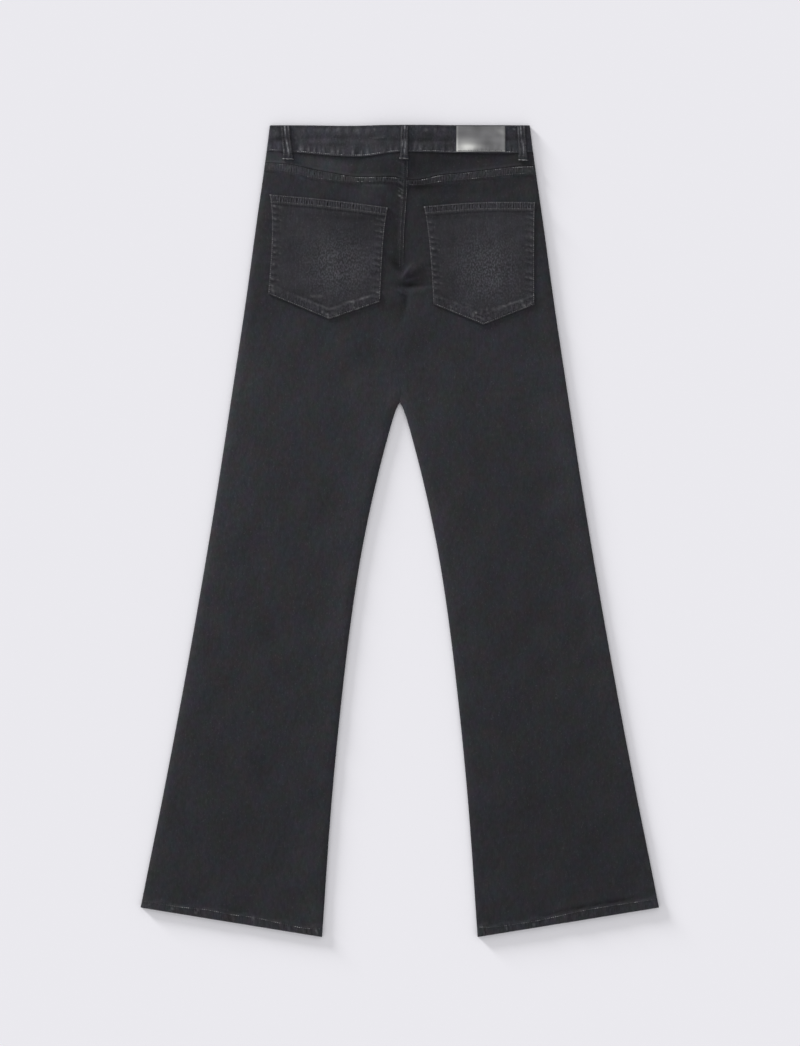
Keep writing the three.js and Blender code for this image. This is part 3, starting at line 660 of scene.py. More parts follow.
# Back pockets
pocketTable = {
    "pocketBackLeft": {
        "node": "pocket_back_left",
        "top": (-177, 93.6, -15.8, 111.4),
        "bottom": (-178.6, 228.6, -26.6, 239.6),
        "point": (-95.6, 263.2),
        "sag": -1.4,
        "bow": (4.2, -2.4),
        "fade": (-84, 190, 40, 40),  # x, drop and reach of the worn middle
        "seed": 50,
        "tonesAndShade": [  # x, drop, width, height, change of brightness: tone of the cloth, and thin painted shadows under the hem band
            (-140, 142, 30, 30, 0.16), (-150, 206, 24, 22, 0.14), (-58, 140, 28, 24, -0.18),
            (-62, 126, 44, 4, -0.3), (-120, 121, 40, 3, -0.16), (-95, 106, 70, 5, 0.06),
        ],
        "marks": [  # rubbed spots along the turned edge: x, drop, turn in degrees, length, width, strength
            (-117, 232, 2, 8, 3, 0.16), (-107.6, 232, 2, 6, 3, 0.2), (-113, 231.6, 0, 24, 4, 0.06),
            (-172, 222, 90, 8, 4, 0.25), (-170, 226, 60, 4, 3, 0.25), (-137, 233.4, -20, 6, 3, 0.14),
            (-131, 236, -20, 8, 4, 0.16), (-122, 239.6, -10, 5, 4, 0.2), (-113, 242.5, -24, 8, 3, 0.14),
            (-104, 246, -24, 8, 3, 0.12), (-99.5, 248, -30, 6, 4, 0.16), (-92.7, 248.7, 0, 8, 3.4, 0.14),
            (-85.7, 246.4, 26, 8, 3.4, 0.14), (-74, 240.4, 16, 12, 3, 0.14), (-67, 239.2, 4, 5, 3, 0.3),
            (-62.8, 240, 90, 6, 2.6, 0.3), (-51, 235, 8, 6, 3, 0.5), (-44.8, 233.4, 14, 6, 2.6, 0.3),
            (-120, 252, -24, 10, 2, 0.2), (-105, 253.5, 90, 4, 2.4, 0.4), (-98.5, 256.6, -30, 5, 3, 0.4),
            (-97, 260.4, -10, 4, 2.4, 0.5), (-88, 255.6, 0, 8, 4, 0.14), (-84.7, 258.6, 16, 5, 2.4, 0.45),
            (-57.5, 249, 24, 4, 2.4, 0.45), (-62, 247.4, 0, 3, 2.4, 0.3),
        ],
        "shadowLines": [  # the same for darker lines: painted shadows along the turned edges and folds
            (-112, 239.4, -26, 24, 2.6, -0.4), (-98, 252, -36, 12, 3, -0.3), (-80, 241.4, 34, 12, 4, -0.3),
            (-61, 244, 70, 8, 2.6, -0.25), (-34, 229, 12, 12, 3, -0.2), (-150, 226, -20, 30, 3, -0.15),
        ],
    },
    "pocketBackRight": {
        "node": "pocket_back_right",
        "top": (32, 110, 183.4, 104.4),
        "bottom": (45.4, 242.8, 182.4, 243.4),
        "point": (113.3, 270.6),
        "sag": -2.8,
        "bow": (2.6, -0.8),
        "fade": (118, 196, 40, 42),
        "seed": 70,
        "tonesAndShade": [
            (150, 140, 34, 26, 0.1), (60, 200, 16, 40, -0.1), (90, 124, 60, 3, -0.2),
            (150, 121, 40, 3, -0.1), (110, 247, 46, 8, -0.06),
        ],
        "marks": [
            (54, 245.2, -22, 6, 2, 0.3), (70.5, 251.2, -22, 8, 2, 0.3), (69.8, 246.4, 20, 4, 3, 0.3),
            (76.7, 250, 90, 4, 3, 0.2), (76, 241.4, -24, 6, 4, 0.14), (93, 245, -60, 10, 7, 0.1),
            (99.3, 257.4, 90, 5.4, 2.4, 0.5), (103, 254, 0, 3, 2.8, 0.6), (108.5, 261, -27, 10, 2.4, 0.3),
            (104, 264, -22, 8, 2, 0.2), (110.5, 252, 90, 8, 3, 0.16), (118, 249.8, 90, 4, 2.4, 0.25),
            (121.7, 262, 0, 6, 5, 0.1), (120, 266.6, 12, 12, 1.8, 0.22), (127, 249, 10, 5, 3, 0.25),
            (135, 246.6, 20, 7, 4, 0.2), (140.6, 244.8, 10, 5, 2.6, 0.25), (148.5, 241.7, 20, 6, 2.6, 0.25),
            (156, 240, 12, 9, 2.6, 0.16), (164.4, 238.4, -30, 6, 3.4, 0.22), (168.8, 245, -40, 6, 3, 0.5),
            (174.4, 243.4, 24, 5, 3, 0.25), (177.6, 241.4, 80, 5, 2.4, 0.25), (164.5, 248.8, 16, 7, 2.2, 0.3),
        ],
        "shadowLines": [
            (168, 240.6, -70, 8, 2, -0.35), (152, 244.6, 16, 16, 3, -0.16), (106, 257, -26, 14, 2.4, -0.4),
            (113, 256, 80, 8, 4, -0.2), (126, 254, 30, 10, 4, -0.15), (120, 246, 0, 18, 3, -0.15),
            (90, 239, -24, 20, 3, -0.15),
        ],
    },
}
pocketStyle = {
    "hem": 11.5,
    "turnSide": 9,
    "turnLow": 11.5,
    "hemRise": 0.9,
    "turnRise": 0.6,
    "sidePucker": 0.6,
    "lowPucker": 0.34,
    "hemPucker": 0.2,
    "edge": 0.55,  # how much thinner the sewn edge is pressed
    "fine": 1.35,  # size of the grid
}


def pocketPlan(pocket, share, level):
    topLeftX, topLeft, topRightX, topRight = pocket["top"]
    lowLeftX, lowLeft, lowRightX, lowRight = pocket["bottom"]
    pointX, pointDrop = pocket["point"]
    pointShare = (pointX - lowLeftX) / (lowRightX - lowLeftX)
    x = mix(mix(topLeftX, topRightX, share), mix(lowLeftX, lowRightX, share), level)
    bow = np.sin(math.pi * np.clip(level, 0, 1) ** 0.7)
    x = x + bow * mix(pocket["bow"][0], pocket["bow"][1], share)
    toPoint = np.minimum(share / pointShare, (1 - share) / (1 - pointShare))
    side = np.where(share < pointShare, lowLeft, lowRight)
    lowest = mix(side, pointDrop, toPoint)
    highest = mix(topLeft, topRight, share) + pocket["sag"] * np.sin(math.pi * share)
    return x, mix(highest, lowest, level)


# distances inwards from the left, right, top and lower edges
def pocketSides(pocket, x, drop):
    topLeftX, topLeft, topRightX, topRight = pocket["top"]
    lowLeftX, lowLeft, lowRightX, lowRight = pocket["bottom"]
    pointX, pointDrop = pocket["point"]
    level = np.clip((drop - topLeft) / (lowLeft - topLeft), 0, 1)
    bow = np.sin(math.pi * level ** 0.7)
    left = x - mix(topLeftX, lowLeftX, level) - bow * pocket["bow"][0]
    level = np.clip((drop - topRight) / (lowRight - topRight), 0, 1)
    bow = np.sin(math.pi * level ** 0.7)
    right = mix(topRightX, lowRightX, level) + bow * pocket["bow"][1] - x
    share = (x - topLeftX) / (topRightX - topLeftX)
    top = drop - mix(topLeft, topRight, share) - pocket["sag"] * np.sin(math.pi * np.clip(share, 0, 1))
    leftSlope = (pointDrop - lowLeft) / (pointX - lowLeftX)
    rightSlope = (lowRight - pointDrop) / (lowRightX - pointX)
    lowLeftEdge = (lowLeft + leftSlope * (x - lowLeftX) - drop) / math.hypot(1, leftSlope)
    lowRightEdge = (pointDrop + rightSlope * (x - pointX) - drop) / math.hypot(1, rightSlope)
    return left, right, top, np.minimum(lowLeftEdge, lowRightEdge)


# the waves along the left and right edges, which all lean down to the right
def sideWaves(pocket, drop, left, right):
    seed = pocket["seed"]
    return puckers(drop - 0.2 * left, 9, seed + 1, 0.65), puckers(drop + 0.25 * right, 9, seed + 2, 0.65)


# the leg's own puckers just outside the pocket seams
def pocketPull(x, drop):
    high = 0
    for pocket in pocketTable.values():
        left, right, top, low = pocketSides(pocket, x, drop)
        leftWave, rightWave = sideWaves(pocket, drop, 0, 0)
        along = ease(top, -4, 6) * ease(low, -8, 4)
        wave = leftWave * hill(left, -3, 5) + rightWave * hill(right, -3, 5)
        high = high + back["pocketPull"] * along * wave
    return high


def pocketFine(pocket, x, drop):
    left, right, top, low = pocketSides(pocket, x, drop)
    seed, style = pocket["seed"], pocketStyle
    high = style["turnRise"] * (1 - ease(low, style["turnLow"], style["turnLow"] + 2.2))
    sideTurn = 0.2 * style["turnRise"] * (1 - ease(np.minimum(left, right), 3, style["turnSide"] + 2))
    high = np.maximum(high, sideTurn)
    high = np.maximum(high, style["hemRise"] * (1 - ease(top, style["hem"], style["hem"] + 1.4)))
    below = ease(top, style["hem"], style["hem"] + 5) * ease(low, 2, 9)
    leftWave, rightWave = sideWaves(pocket, drop, left, right)
    wave = leftWave * hill(left, 5.4, 4.6) + rightWave * hill(right, 5.4, 4.6)
    high = high + style["sidePucker"] * below * wave
    high = high + style["lowPucker"] * puckers(x + 0.3 * low, 9.5, seed + 3) * hill(low, 6, 5)
    high = high + style["hemPucker"] * puckers(x, 5.2, seed + 4) * hill(top, 6, 5)
    high = high - 0.22 * hill(top, style["hem"] + 2.2, 1.6) - 0.1 * hill(low, style["turnLow"] + 2.5, 2)
    edge = np.minimum(np.minimum(left, right), low)
    high = high - style["edge"] * (1 - ease(edge, 0, 2.6)) - 0.3 * (1 - ease(top, 0, 2))
    return high + 0.14 * cloud(x, drop, 34, seed + 5) * ease(low, 8, 24) * ease(top, 14, 26)


def pocketWear(pocket, x, drop):
    left, right, top, low = pocketSides(pocket, x, drop)
    seed, style = pocket["seed"], pocketStyle
    edge = np.minimum(np.minimum(left, right), np.minimum(low, top))
    wear = 0.08 * hill(edge, 0.3, 1.1) * (0.7 + 0.3 * puckers(x + drop, 7, seed + 6))
    below = ease(top, style["hem"], style["hem"] + 4) * ease(low, 4, 10)
    leftWave, rightWave = sideWaves(pocket, drop, left, right)
    ridge = crests(leftWave, 3) * (hill(left, 4.6, 1.8) + 0.36 * hill(left, 12, 2.6))
    wear = wear + 0.6 * below * ridge
    ridge = crests(rightWave, 3) * (hill(right, 4.2, 1.8) + 0.34 * hill(right, 11, 2.6))
    wear = wear + 0.55 * below * ridge
    ridge = crests(puckers(x + 0.3 * low, 9.5, seed + 3), 2)
    wear = wear + 0.1 * ridge * hill(low, style["turnLow"], 3) + strokes(pocket["marks"], x, drop)
    ridge = crests(puckers(x, 5.2, seed + 4), 2)
    wear = wear + 0.14 * ridge * hill(top, 5, 4) + 0.16 * hill(top, style["hem"] - 0.8, 1.1)
    atX, atDrop, wide, tall = pocket["fade"]
    return wear + 0.05 * hill(x, atX, wide) * hill(drop, atDrop, tall)


def pocketGrain(pocket, x, drop):
    _, _, top, low = pocketSides(pocket, x, drop)
    atX, atDrop, wide, tall = pocket["fade"]
    bands = 0.5 * (1 - ease(top, pocketStyle["hem"] - 1, pocketStyle["hem"] + 1))
    bands = bands + 0.4 * (1 - ease(low, pocketStyle["turnLow"] - 1, pocketStyle["turnLow"] + 1))
    return bands + 1.4 * hill(x, atX, wide * 1.15) * hill(drop, atDrop, tall * 1.15)


def pocketHatch(pocket, x, drop):
    _, _, top, low = pocketSides(pocket, x, drop)
    seed, style = pocket["seed"], pocketStyle
    uneven = np.clip(0.7 + 0.5 * puckers(x, 26, seed + 7), 0.15, 1.2)
    hatch = 1.15 * hill(top, style["hem"] * 0.45, style["hem"] * 0.5) * uneven
    return hatch + 0.35 * hill(low, style["turnLow"] * 0.4, style["turnLow"] * 0.5) * uneven


def pocketShade(pocket, x, drop):
    left, right, _, low = pocketSides(pocket, x, drop)
    atX, atDrop, wide, tall = pocket["fade"]
    shade = 1 + 0.3 * hill(x, atX, wide) * hill(drop, atDrop, tall)
    shade = shade + strokes(pocket["shadowLines"], x, drop) + ovals(pocket["tonesAndShade"], x, drop)
    # painted shadow just above the turned lower edge, and a little darker 12 mm in from the sides
    shade = shade - 0.1 * hill(low, pocketStyle["turnLow"] + 3, 2.6)
    return shade * (1 - 0.06 * hill(np.minimum(left, right), 12, 5))


def pocketHeight(pocket, x, drop):
    bed = backUnder(x, drop) + cut["denim"] + 0.2 + undulation(x, drop)
    return bed, bed + cut["denim"] + pocketFine(pocket, x, drop)


# The waistband
band = {
    "lowPucker": 0.58,
    "topPucker": 0.28,
    "crease": 0.42,
    "undulation": 0.14,
    "topDip": 0.9,
}
bandMarks = [  # x, drop, width, height, wear: pale marks and rubbed streaks
    (-83, 5.5, 2.4, 3.4, 0.3), (-82, 12, 3, 1.2, 0.3), (-72, 7, 1.6, 4, 0.2), (-58, 8, 4, 4.6, 0.2),
    (-43, 8, 2.6, 4, 0.12), (-34, 6.5, 1.4, 2, 0.28), (-28, 16.6, 7, 0.9, 0.34), (-22.5, 15.8, 2, 1, 0.2),
    (-98, 6.5, 3, 2.6, 0.14), (-112, 6, 5, 3, 0.12), (-141, 17.5, 1.6, 1.2, 0.26), (-168, 12, 4, 3, 0.12),
    (35.5, 6.5, 2.6, 2, 0.3), (48, 7, 2, 4, 0.22), (60, 5, 3, 3, 0.1), (155, 5.5, 1, 1, 0.5),
    (28, 30, 3, 5, 0.12), (-133, 29, 2.4, 4, 0.16), (-125, 31, 2, 3, 0.14),
]
bandTonesAndShade = [  # x, drop, width, height, change of brightness: tone of the cloth, and thin painted shadows in the band's creases
    (-108, 14, 54, 22, 0.28), (-170, 8, 20, 12, 0.1), (-48, 20, 34, 8, -0.2), (-90, 26.4, 20, 1.6, -0.3),
    (-60, 5, 60, 5, 0.06), (44, 20.5, 40, 2.2, -0.26), (-164, 18.5, 12, 2.6, -0.26),
    (152, 20, 10, 2, -0.3), (10, 22, 26, 8, -0.12), (60, 8, 30, 8, 0.06),
]


def bandTop(x):
    return band["topDip"] * hill(x, -72, 46)


# the drop of the long crease along the band's middle
def bandCrease(x):
    return 19.5 + 1.8 * np.sin(x / 34 + 1)


def bandPucker(x, drop):
    up = bandDrop(x) - drop
    narrow = puckers(x, 8, 41) + 0.5 * puckers(x, 5.1, 46)
    return narrow * hill(up, 4.6, 4.4) + 0.5 * puckers(x, 11, 47) * hill(up, 9, 5) * ease(x, -20, 20)


def bandFine(x, drop):
    high = band["lowPucker"] * bandPucker(x, drop)
    high = high + band["topPucker"] * puckers(x, 12.5, 42) * hill(drop, 5.5, 5)
    middle = bandCrease(x)
    high = high - band["crease"] * hill(drop, middle, 3) + 0.16 * hill(drop, middle + 6, 4)
    return high + band["undulation"] * cloud(x, drop, 30, 43)


def bandInner(x, drop):
    share = np.minimum(1, np.abs(x) / sideX(drop))
    crease = -0.3 * hill(drop, 17, 5) * (1 - share**6)
    lift = cut["bandAir"] * (1 - share**4) + cut["bandLift"] * overFly(x, drop)
    return cut["bandWall"] + cut["bandFold"] + lift + crease


def bandOuter(x, drop):
    return bandInner(x, drop) + cut["bandWall"] + bandFine(x, drop)


def bandWear(x, drop):
    up = bandDrop(x) - drop
    where = 0.3 + 0.75 * hill(x, -100, 50) + 0.3 * hill(x, 50, 34)
    wear = 0.5 * crests(bandPucker(x, drop), 1.3) * where
    return wear + ovals(bandMarks, x, drop, 0.09) + 0.07 * hill(up, 0, 1.3)


def bandShade(x, drop):
    # painted shade along the long crease, just above the lower edge and in a line along the top edge, with
    # random tone
    shade = 1 - 0.12 * hill(drop, bandCrease(x), 2.8) + 0.1 * cloud(x, drop, 24, 44)
    shade = shade + ovals(bandTonesAndShade, x, drop)
    return shade - 0.06 * hill(bandDrop(x) - drop, 2.6, 1.2) - 0.3 * hill(drop - bandTop(x), 0.8, 1)


def frontTop(x):
    share = np.minimum(1, np.abs(x) / sideX(0))
    return cut["frontDip"] * (1 - share * share)


def frontBandDrop(x):
    share = np.minimum(1, np.abs(x) / sideX(0))
    return mix(frontTop(x) + cut["frontBand"], bandDrop(x), share**6)


frontLoopX = 112
button = {"drop": 34.5, "wall": 1.5, "clear": 11.2, "spread": 18.4}


def frontUnder(x, drop):
    curl = cut["frontCurl"] * (1 - rounded(edgeDistance(x, drop), cut["curlRound"]))
    curl = curl * ease(hemDrop(x) - drop, cut["hemDepth"], cut["hemDepth"] + 20)
    low = frontTop(x) + cut["frontBand"]
    loop = (1 - ease(np.abs(np.abs(x) - frontLoopX), 9, 20)) * (1 - ease(drop, low + 16, low + 36))
    aside = ease(np.abs(x), button["clear"], button["spread"])
    apart = ease(np.abs(drop - button["drop"]), button["clear"], button["spread"])
    overButton = (button["wall"] + cut["gap"]) * (1 - aside) * (1 - apart)
    return np.maximum(np.maximum(curl, (1 + cut["gap"]) * loop), overButton)


def makeWaistband():
    wall, fold, rows = cut["bandWall"], cut["bandFold"], 22
    level = np.linspace(0, 1, rows)
    reach = sideX(level * bandDrop(180.0)) - (2 * wall + fold) / 2
    spots = np.concatenate([np.linspace(-cut["lap"], 64, 24), np.linspace(68, 166, 24)])
    outside, inside = [], []

    def frontColumn(hand, spot):
        x = hand * np.minimum(spot, reach)
        drop = mix(frontTop(x), frontBandDrop(x), level)
        near = ease(sideX(0) - np.abs(x), cut["curlRound"], cut["curlRound"] + 12)
        low = frontUnder(x, drop) * near
        if hand > 0:
            low = low + (wall + 2 * cut["gap"]) * (1 - ease(x, 20, 62))
        outside.append((x, drop, low))
        inside.append((x, drop, low + wall))

    def foldColumn(side, share):
        angle = math.pi * (share - 0.5)
        drop = level * bandDrop(side * reach)
        for store, radius in ((outside, wall + fold / 2), (inside, fold / 2)):
            z = np.full(rows, wall + fold / 2 + radius * math.sin(angle))
            store.append((side * (reach + radius * math.cos(angle)), drop, z))

    def backColumn(share):
        x = share * reach
        drop = mix(bandTop(x), bandDrop(x), level)
        calm = ease(np.minimum(1 - abs(share), 0.03), 0, 0.03)
        inside.append((x, drop, bandInner(x, drop)))
        outside.append((x, drop, bandInner(x, drop) + wall + bandFine(x, drop) * calm))

    for spot in [*spots, np.inf]:
        frontColumn(-1, spot)
    for share in np.linspace(0, 1, 9)[1:-1]:
        foldColumn(-1, share)
    for share in np.linspace(-1, 1, 190):
        backColumn(share)
    for share in np.linspace(1, 0, 9)[1:-1]:
        foldColumn(1, share)
    for spot in [*spots, np.inf][::-1]:
        frontColumn(1, spot)
    outside = [np.stack([c[k] for c in outside], 1) for k in range(3)]
    inside = [np.stack([c[k] for c in inside], 1) for k in range(3)]
    x, drop, z = outside
    onBack = ease(z, 2.6, 3.6)
    piece = makeCloth(
        "waistBand", toWorld(*outside), toWorld(*inside), denims["bandDenim"],
        mix(1, bandShade(x, drop), onBack), bandWear(x, drop) * onBack, 0.25,
    )
    dress(piece, "denim", "waistband")


makeWaistband()


# Legs and yoke of the back
def sideEdge(side):
    return lambda drop: side * sideX(drop)


def innerEdge(side):
    half = cut["seatGap"] / 2
    seam = lambda drop: seatX(drop) + side * half
    return lambda drop: np.where(drop > cut["crotch"], side * np.maximum(insideX(drop), half), seam(drop))


def shifted(place, amount):
    return lambda value: place(value) + amount


# knots at distances inwards from the side seam, each with its steps to the next one
def sideKnots(side, columns):
    outer = sideEdge(side)
    return [(shifted(outer, -side * inwards), count) for inwards, count in columns]


# columns run from left to right, so those of a right-hand piece are turned round
def leftToRight(side, knots):
    if side < 0:
        return knots
    counts = [count for _, count in knots[:-1]][::-1] + [1]
    return [(place, count) for (place, _), count in zip(knots[::-1], counts)]


backColumns = {  # distance from the side seam or from the inner edge, steps
    "outer": [(0, 3), (2, 4), (14, 60)],
    "inner": [(60, 22), (16, 6), (8.5, 1), (7, 5), (0, 1)],
}


def backKnots(side):
    inner = innerEdge(side)
    knots = sideKnots(side, backColumns["outer"])
    knots += [(shifted(inner, side * away), count) for away, count in backColumns["inner"]]
    return leftToRight(side, knots)


backRows = {
    "fell": 11,
    "belowFell": 6,
    "seat": 30,
    "pocket": 72,
    "crotch": 29,
    "leg": 150,
    "hem": 10,
}


def makeBackLeg(name, nodeName, side):
    top = shifted(yokeDrop, cut["gap"] / 2)
    fell = lambda x: top(x) + fellWidth(x)
    hemTop = lambda x: hemDrop(x) - hemDepth(x)
    rows = [
        (top, backRows["fell"]), (fell, 2), (shifted(fell, 1.6), backRows["belowFell"]),
        (shifted(fell, 8), backRows["seat"]), (at(150), backRows["pocket"]), (at(264), backRows["crotch"]),
        (at(cut["crotch"]), backRows["leg"]), (shifted(hemTop, -12), 8), (shifted(hemTop, -1.6), 2),
        (shifted(hemTop, 0.4), backRows["hem"]), (hemDrop, 1),
    ]
    x, drop = layOut(rows, backKnots(side))
    under = backUnder(x, drop) + 0.6 * backFine(x, drop)
    over = backOver(x, drop, side)
    piece = makeCloth(
        name, toWorld(x, drop, over), toWorld(x, drop, np.minimum(under, over - 0.9)), denims["legDenim"],
        backShade(x, drop), backWear(x, drop), backGrain(x, drop), backHatch(x, drop),
    )
    dress(piece, "denim", nodeName)


def makeYoke(name, nodeName, side):
    top, low = shifted(bandDrop, cut["gap"]), shifted(yokeDrop, -cut["gap"] / 2)
    x, drop = layOut([(top, 18), (low, 1)], backKnots(side))
    under = backUnder(x, drop) + 0.6 * backFine(x, drop)
    over = backOver(x, drop, side, False)
    piece = makeCloth(
        name, toWorld(x, drop, over), toWorld(x, drop, np.minimum(under, over - 0.9)), denims["legDenim"],
        backShade(x, drop, False), backWear(x, drop),
    )
    dress(piece, "denim", nodeName)


makeBackLeg("legBackLeft", "leg_back_left", -1)
makeBackLeg("legBackRight", "leg_back_right", 1)
makeYoke("yokeLeft", "yoke_left", -1)
makeYoke("yokeRight", "yoke_right", 1)
print("back sewn")


def makePocket(name, pocket):
    fine = pocketStyle["fine"]
    wide = pocket["top"][2] - pocket["top"][0]
    tall = pocket["point"][1] - pocket["top"][1]
    share, level = np.meshgrid(np.linspace(0, 1, int(wide / fine)), np.linspace(0, 1, int(tall / fine)))
    x, drop = pocketPlan(pocket, share, level)
    under, over = pocketHeight(pocket, x, drop)
    piece = makeCloth(
        name, toWorld(x, drop, over), toWorld(x, drop, under), denims["pocketDenim"],
        pocketShade(pocket, x, drop), pocketWear(pocket, x, drop), pocketGrain(pocket, x, drop),
        pocketHatch(pocket, x, drop),
    )
    dress(piece, "denim", pocket["node"])


for name, pocket in pocketTable.items():
    makePocket(name, pocket)


# The front, which lies underneath
frontScoop = [(0, 58), (20, 57), (52, 50), (82, 34), (98, 14), (98.01, 0), (999, 0)]  # inwards, deep
frontColumns = [(0, 3), (6, 3), (20, 5), (52, 4), (82, 3), (98, 1), (98.6, 8)]  # inwards, steps
facingColumns = [(0, 3), (6, 3), (20, 6), (52, 5), (82, 3), (97.6, 1)]


def frontPanelTop(x):
    inwards, deep = zip(*frontScoop)
    top = frontBandDrop(x)
    drop = top
    for _ in range(5):
        drop = top + np.interp(sideX(drop) - np.abs(x), inwards, deep)
    return drop


def makeFrontLeg(name, nodeName, side):
    def inner(drop):
        half = cut["gap"] / 2
        return side * np.where(drop > cut["crotch"], np.maximum(insideX(drop), half), half)

    knots = sideKnots(side, frontColumns) + [(shifted(inner, side * 20), 4), (inner, 1)]
    low = cut["hemDepth"]
    rows = [
        (shifted(frontPanelTop, cut["gap"]), 34), (at(cut["crotch"]), 74), (shifted(hemDrop, -low - 1.6), 1),
        (shifted(hemDrop, -low), 3), (hemDrop, 1),
    ]
    x, drop = layOut(rows, leftToRight(side, knots))
    under = frontUnder(x, drop)
    rise = cut["hemRise"] * (1 - ease(hemDrop(x) - drop, low, low + 1.6))
    piece = makeCloth(
        name, toWorld(x, drop, under + cut["denim"] + rise), toWorld(x, drop, under), denims["frontDenim"],
        0.97 + 0.03 * cloud(x, drop, 60, 81),
    )
    dress(piece, "denim", nodeName)


def makeFacing(name, nodeName, side):
    rows = [(shifted(frontBandDrop, cut["gap"]), 10), (shifted(frontPanelTop, -cut["gap"]), 1)]
    x, drop = layOut(rows, leftToRight(side, sideKnots(side, facingColumns)))
    under = frontUnder(x, drop)
    over = under + cut["denim"]
    piece = makeCloth(name, toWorld(x, drop, over), toWorld(x, drop, under), denims["frontDenim"], 0.95)
    dress(piece, "denim", nodeName)


makeFrontLeg("legFrontLeft", "leg_front_left", -1)
makeFrontLeg("legFrontRight", "leg_front_right", 1)
makeFacing("facingLeft", "pocket_facing_left", -1)
makeFacing("facingRight", "pocket_facing_right", 1)
print("front sewn")

# Belt loops
loopStyle = {"foot": 7, "wall": 1.6, "ridge": 0.5, "wear": 0.5}
frontLoop = {"width": 11, "length": 47, "wall": 1, "edge": 0.35}
# a ridge is its place across from -1 to 1, above and below, and its wear; a mark is its place across,
# its drop, its length and its wear
loopTable = {
    "beltLoopBackLeft": {
        "node": "belt_loop_back_left", "x": (-155.2, -150.9), "low": 47, "seam": 0, "seed": 91,
        "width": 13, "footWidth": 15,
        "ridges": [(-0.84, -0.8, 0.3), (-0.14, 0.16, 0.9), (0.62, 0.8, 0.4)],
        "marks": [
            (-0.12, 5, 11, 0.9), (0.05, 24, 12, 0.5), (0.2, 35, 9, 1), (0.6, 4, 8, 0.5), (-0.75, 34, 8, 0.3),
        ],
    },
    "beltLoopBackCentre": {
        "node": "belt_loop_back_centre", "x": (6.6, 5.8), "low": 47, "seam": 0.9, "seed": 92,
        "width": 11, "footWidth": 12.6,
        "ridges": [(-0.8, -0.62, 0.4), (0, 0.2, 0.6), (0.7, 0.6, 0.3)],
        "marks": [
            (0.05, 3, 7, 1), (0.25, 27, 14, 0.8), (-0.5, 26, 9, 0.8), (-0.6, 8, 12, 0.3), (0, 35, 5, 0.6),
        ],
    },
    "beltLoopBackRight": {
        "node": "belt_loop_back_right", "x": (164.6, 167.4), "low": 48.6, "seam": 0, "seed": 93,
        "width": 11.8, "footWidth": 13.2,
        "ridges": [(-0.8, -0.66, 0.35), (-0.2, 0.2, 0.7), (0.6, 0.7, 0.35)],
        "marks": [
            (-0.2, 6, 12, 0.7), (0.6, 3, 6, 0.5), (0.2, 30, 15, 0.9), (-0.5, 34, 8, 0.4), (-0.7, 8, 10, 0.4),
        ],
    },
}


# x, underside, thickness and wear where along is the drop and across runs from -1 to 1
def loopPoint(loop, along, across):
    style = loopStyle
    foot = loop["low"] - style["foot"]
    middle = mix(loop["x"][0], loop["x"][1], along / loop["low"])
    wide = mix(loop["width"], loop["footWidth"], ease(along, foot - 1, foot + 3))
    wide = wide * (1 + 0.03 * puckers(along, 13, loop["seed"]))
    x = middle + across * wide / 2
    past = along - bandDrop(middle)
    onYoke = backUnder(x, along) + cut["denim"] + loop["seam"]
    onBand = bandInner(x, along) + cut["bandWall"]
    bed = np.where(past < -1, onBand, np.maximum(mix(onBand, onYoke, ease(past, 1, 5)), onYoke))
    under = bed + cut["gap"] + 0.3
    high = style["wall"] - 0.7 * np.abs(across) ** 6
    wear = 0
    for k, (above, below, strength) in enumerate(loop["ridges"]):
        line = mix(above, below, along / loop["low"]) + 0.05 * np.sin(along / 5 + k)
        uneven = np.clip(0.62 + 0.5 * puckers(along, 9 + 2 * k, loop["seed"] + 10 + k), 0, 1.3)
        high = high + style["ridge"] * (0.4 + 0.6 * strength) * hill(across, line, 0.17)
        wear = wear + style["wear"] * strength * uneven * hill(across, line, 0.13)
    for atAcross, atDrop, length, strength in loop["marks"]:
        wear = wear + strength * hill(across, atAcross, 0.15) * hill(along, atDrop, length / 2)
    high = high - 0.3 * hill(along, loop["low"] - 1.4, 1.3)
    wear = wear * (1 - 0.7 * hill(along, 18, 3)) * ease(foot + 2 - along, -2, 3)
    return x, under, high, np.clip(wear, 0, 1)


def makeLoop(name, loop):
    along, across = np.meshgrid(np.linspace(1, loop["low"], 42), np.linspace(-1, 1, 19), indexing="ij")
    x, under, high, wear = loopPoint(loop, along, across)
    # painted shade: darker towards the loop's edges and where it crosses the band's crease
    shade = 0.84 - 0.34 * np.abs(across) ** 4 - 0.2 * hill(along, 18, 2.4)
    over = toWorld(x, along, under + high)
    piece = makeCloth(name, over, toWorld(x, along, under), denims["bandDenim"], shade, wear, 0.5)
    dress(piece, "denim", loop["node"])


for name, loop in loopTable.items():
    makeLoop(name, loop)


def makeFrontLoop(name, nodeName, x):
    top = float(frontTop(np.float64(x))) + 1
    length, wall = frontLoop["length"], frontLoop["wall"]
    along, across = np.meshgrid(np.linspace(top, top + length, 24), np.linspace(-1, 1, 9), indexing="ij")
    plan = x + across * frontLoop["width"] / 2
    over = toWorld(plan, along, np.full(plan.shape, wall))
    under = toWorld(plan, along, frontLoop["edge"] * np.abs(across) ** 6)
    piece = makeCloth(name, over, under, denims["frontDenim"])
    dress(piece, "denim", nodeName)


makeFrontLoop("beltLoopFrontLeft", "belt_loop_front_left", -frontLoopX)
makeFrontLoop("beltLoopFrontRight", "belt_loop_front_right", frontLoopX)
print("loops sewn")

# The patch on the waistband
patch = {
    "left": 76.5,
    "right": 142.8,
    "top": 1,
    "bottom": 36.2,
    "wall": 1,
    "wave": 0.12,
    "colour": (0.15, 0.149, 0.155),
    "highlightColour": (0.68, 0.68, 0.66),
    # x, drop, width, height and strength of the painted highlight, then of the painted darker spot
    "highlightSpots": [(92, 29.6, 8, 3.8, 0.42), (90, 29.6, 13, 6.4, 0.44), (88, 21, 13, 6, 0.12)],
    "tonesAndShade": [(84, 11, 12, 2.4, -0.1)],
}


